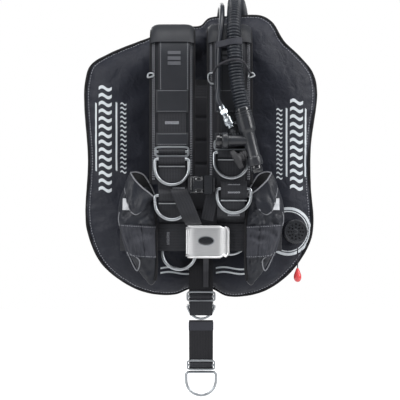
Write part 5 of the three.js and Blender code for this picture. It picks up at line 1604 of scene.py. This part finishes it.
button = [(0, 9.2), (0.4, 9.5), (11, 9.5), (11.2, 10.2), (11.8, 10.6), (14.5, 10.2), (17.4, 9.4),
          (18.2, 8.6), (18.4, 7.2),
          (17.6, 5.5), (17.2, 0.2)]
piece("deflate_push_button", [lathe(on_inflator(92.6), on_inflator(111), profile(button), 40)],
      gloss_plastic,
      body="deflate_button", stands_for=["deflate_button"], sharp=40)

mouth_axis = unit(np.array([-0.86, 0, -0.51]))
mouth_across = np.array([-mouth_axis[2], 0, mouth_axis[0]])
neck_start = on_inflator(70) + 9 * MM * mouth_axis
mouth_rows = np.array([(2.2, 7.5, 7.5), (5, 7.5, 7.5), (5.6, 8.6, 8.6), (7.4, 8.6, 8.6),
                       (8, 7.5, 7.5), (9.6, 7.5, 7.5),
                       (10.2, 8.6, 8.6), (12, 8.6, 8.6), (12.6, 7.6, 7.6), (15.5, 8.2, 7.8),
                       (17.6, 12.5, 9.2),
                       (18.6, 17.2, 10.2), (19.8, 18.4, 10.5), (25.6, 18.4, 10.5),
                       (26.8, 17.6, 9.9), (27.5, 16.2, 8.8),
                       (27.3, 13.8, 6.9), (25, 11.5, 6.0), (20, 8.5, 5.2), (8, 5, 5)]) * MM
turn = np.linspace(0, 2 * math.pi, 64, endpoint=False)
mouth_grid = ((neck_start + mouth_rows[:, :1] * mouth_axis)[:, None, :]
              + (mouth_rows[:, 1:2] * np.cos(turn))[..., None] * mouth_across
              + (mouth_rows[:, 2:3] * np.sin(turn))[..., None] * np.array([0, 1, 0]))
piece("mouthpiece_rubber", [skin(finer(np.moveaxis(mouth_grid, 0, 0), 70, 64))], black_rubber,
      stands_for=["mouthpiece"],
      sharp=60)

coupling_axis = unit(np.array([-0.42, 0.1, 0.9]))


def on_coupling(distance):
    """Point on the quick coupling's axis, a distance in millimetres from the nipple."""
    return nipple_top + distance * MM * coupling_axis


stem = [(0.8, 5.4), (1.2, 6.2), (4.6, 6.2), (5, 5.9), (21.5, 5.9), (22, 6.2), (27, 6.2),
        (27.4, 5.4), (28.4, 5.4)]
nut = [(28, 6.6), (28.7, 7.5), (35, 7.5), (35.6, 6.9)]
ferrule = [(35.2, 6.2), (35.6, 6.9), (38.6, 6.9), (39, 6.4), (40, 6.4), (40.4, 6.9), (43.4, 6.7),
           (44, 6.1)]
piece("coupling_stem", [lathe(on_coupling(0), on_coupling(44), profile(stem), 36),
                        lathe(on_coupling(0), on_coupling(44), profile(nut), 6),
                        lathe(on_coupling(0), on_coupling(44), profile(ferrule), 36)], polished,
      stands_for=["coupling_body"])
sleeve_along = np.array([6.2, 6.6, 7.4, 9.2, 9.6, 10.2, 17.0, 17.6, 18.0, 20.2, 20.8, 21.0]) * MM
sleeve_radius = np.array([7.6, 8.7, 9.0, 9.0, 8.6, 8.9, 8.9, 8.6, 9.0, 9.0, 8.6, 7.6]) * MM
turn = np.linspace(0, 2 * math.pi, 144, endpoint=False)
knurled = np.where((sleeve_along > 9.8 * MM) & (sleeve_along < 17.4 * MM), 1.0, 0.0)[:, None]
sleeve_grid_radius = sleeve_radius[:, None] * (1 - 0.035 * knurled
                                               * (0.5 + 0.5 * np.cos(24 * turn)))
hint = unit(np.cross(coupling_axis, [0, 1, 0]))
other = np.cross(coupling_axis, hint)
sleeve_grid = ((nipple_top + sleeve_along[:, None] * coupling_axis)[:, None, :]
               + sleeve_grid_radius[..., None]
               * (np.cos(turn)[:, None] * hint + np.sin(turn)[:, None] * other))
piece("coupling_sliding_sleeve", [skin(sleeve_grid)], polished, body="coupling_sleeve",
      stands_for=["coupling_sleeve"],
      sharp=30)
low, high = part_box("inflator_elbow")
elbow_rows = [(0, 12.4), (0.6, 14), (5, 14), (5.5, 13.4), (7, 13.4), (7.5, 14), (22.5, 14),
              (23, 13.4), (24.5, 13.4), (25, 14),
              (29.4, 14), (30, 12.6)]
flange = [(0.2, 15.5), (0.8, 16.4), (3, 16.4), (3.6, 15.6), (3.8, 12), (26, 12)]
piece("wing_elbow",
      [lathe((82 * MM, 25 * MM, 178 * MM), (82 * MM, 25 * MM, 208 * MM), profile(elbow_rows), 40),
       lathe((82 * MM, -1 * MM, 193 * MM), (82 * MM, 25 * MM, 193 * MM), profile(flange), 40)],
      satin_plastic,
      stands_for=["inflator_elbow"], sharp=40)

# The hoses are held together and to the left shoulder by an elastic sleeve and a bungee loop, and
# nylon ties clamp the corrugated hose at both ends.


def hose_at(path, height):
    """The point where a hose crosses a height on the front of the vest."""
    front = path[path[:, 1] < -80 * MM]
    return front[np.argmin(np.abs(front[:, 2] - height))]


thin, wide = hose_at(lp_path, 199 * MM), hose_at(hose_path, 199 * MM)
turn = np.linspace(0, 2 * math.pi, 60, endpoint=False)
hull = np.vstack([thin[:2] + 5.6 * MM * np.column_stack([np.cos(turn), np.sin(turn)]),
                  wide[:2] + 14.0 * MM * np.column_stack([np.cos(turn), np.sin(turn)])])
directions = np.column_stack([np.cos(turn), np.sin(turn)])
middle = (thin[:2] + wide[:2]) / 2
support = ((hull - middle) @ directions.T)
corner = hull[np.argmax(support, axis=0)]
loop = spline(corner[np.concatenate([[True], np.linalg.norm(np.diff(corner, axis=0), axis=1) > 0.5
                                     * MM])], 120, closed=True)
loop = np.column_stack([loop, 199 * MM + 0.12 * (loop[:, 0] - thin[0])])
piece("hose_sleeve",
      [skin(sweep(loop, squarish(11 * MM, 1.5 * MM, 24, 0.3), (0, 0, 1), closed=True), along=True)],
      elastic,
      sharp=70)
bungee = np.array([(22, -99.6, 149), (24, -110, 155), (30, -121, 161), (44, -131, 167),
                   (60, -139, 169),
                   (74, -135, 165), (80, -122, 159), (85, -108, 154), (90, -99.5, 149)]) * MM
bungee_path = spline(bungee, 120)
twist = 1 + 0.06 * np.cos(np.arange(120) * 1.5)
piece("hose_bungee",
      [skin(sweep(bungee_path, (1.9 * MM * twist)[:, None, None] * circle(1, 14)[None],
                  (0, 0, 1)))], braid)
ties = []
for at, angle in ((on_inflator(-5), inflator_axis),
                  (np.array([82, 25, 214]) * MM, np.array([0, 0, 1.0]))):
    ties.append(lathe(at, at + 5 * MM * angle,
                      profile([(0, 12.4), (0, 13.5), (0.4, 13.9), (4.6, 13.9), (5, 13.5),
                               (5, 12.4)]), 48))
piece("hose_ties", ties, gloss_plastic, sharp=40)
for name, x, drop, half in (("inner", 22, 19, 9), ("outer", 90, 13, 5.4), ("right", -90, 13, 5.4)):
    loop_ring = d_ring(x * MM, -99.5 * MM, 151 * MM, drop * MM, half * MM, 1.5 * MM)
    piece(f"bungee_ring_{name}", [loop_ring], ring_steel)
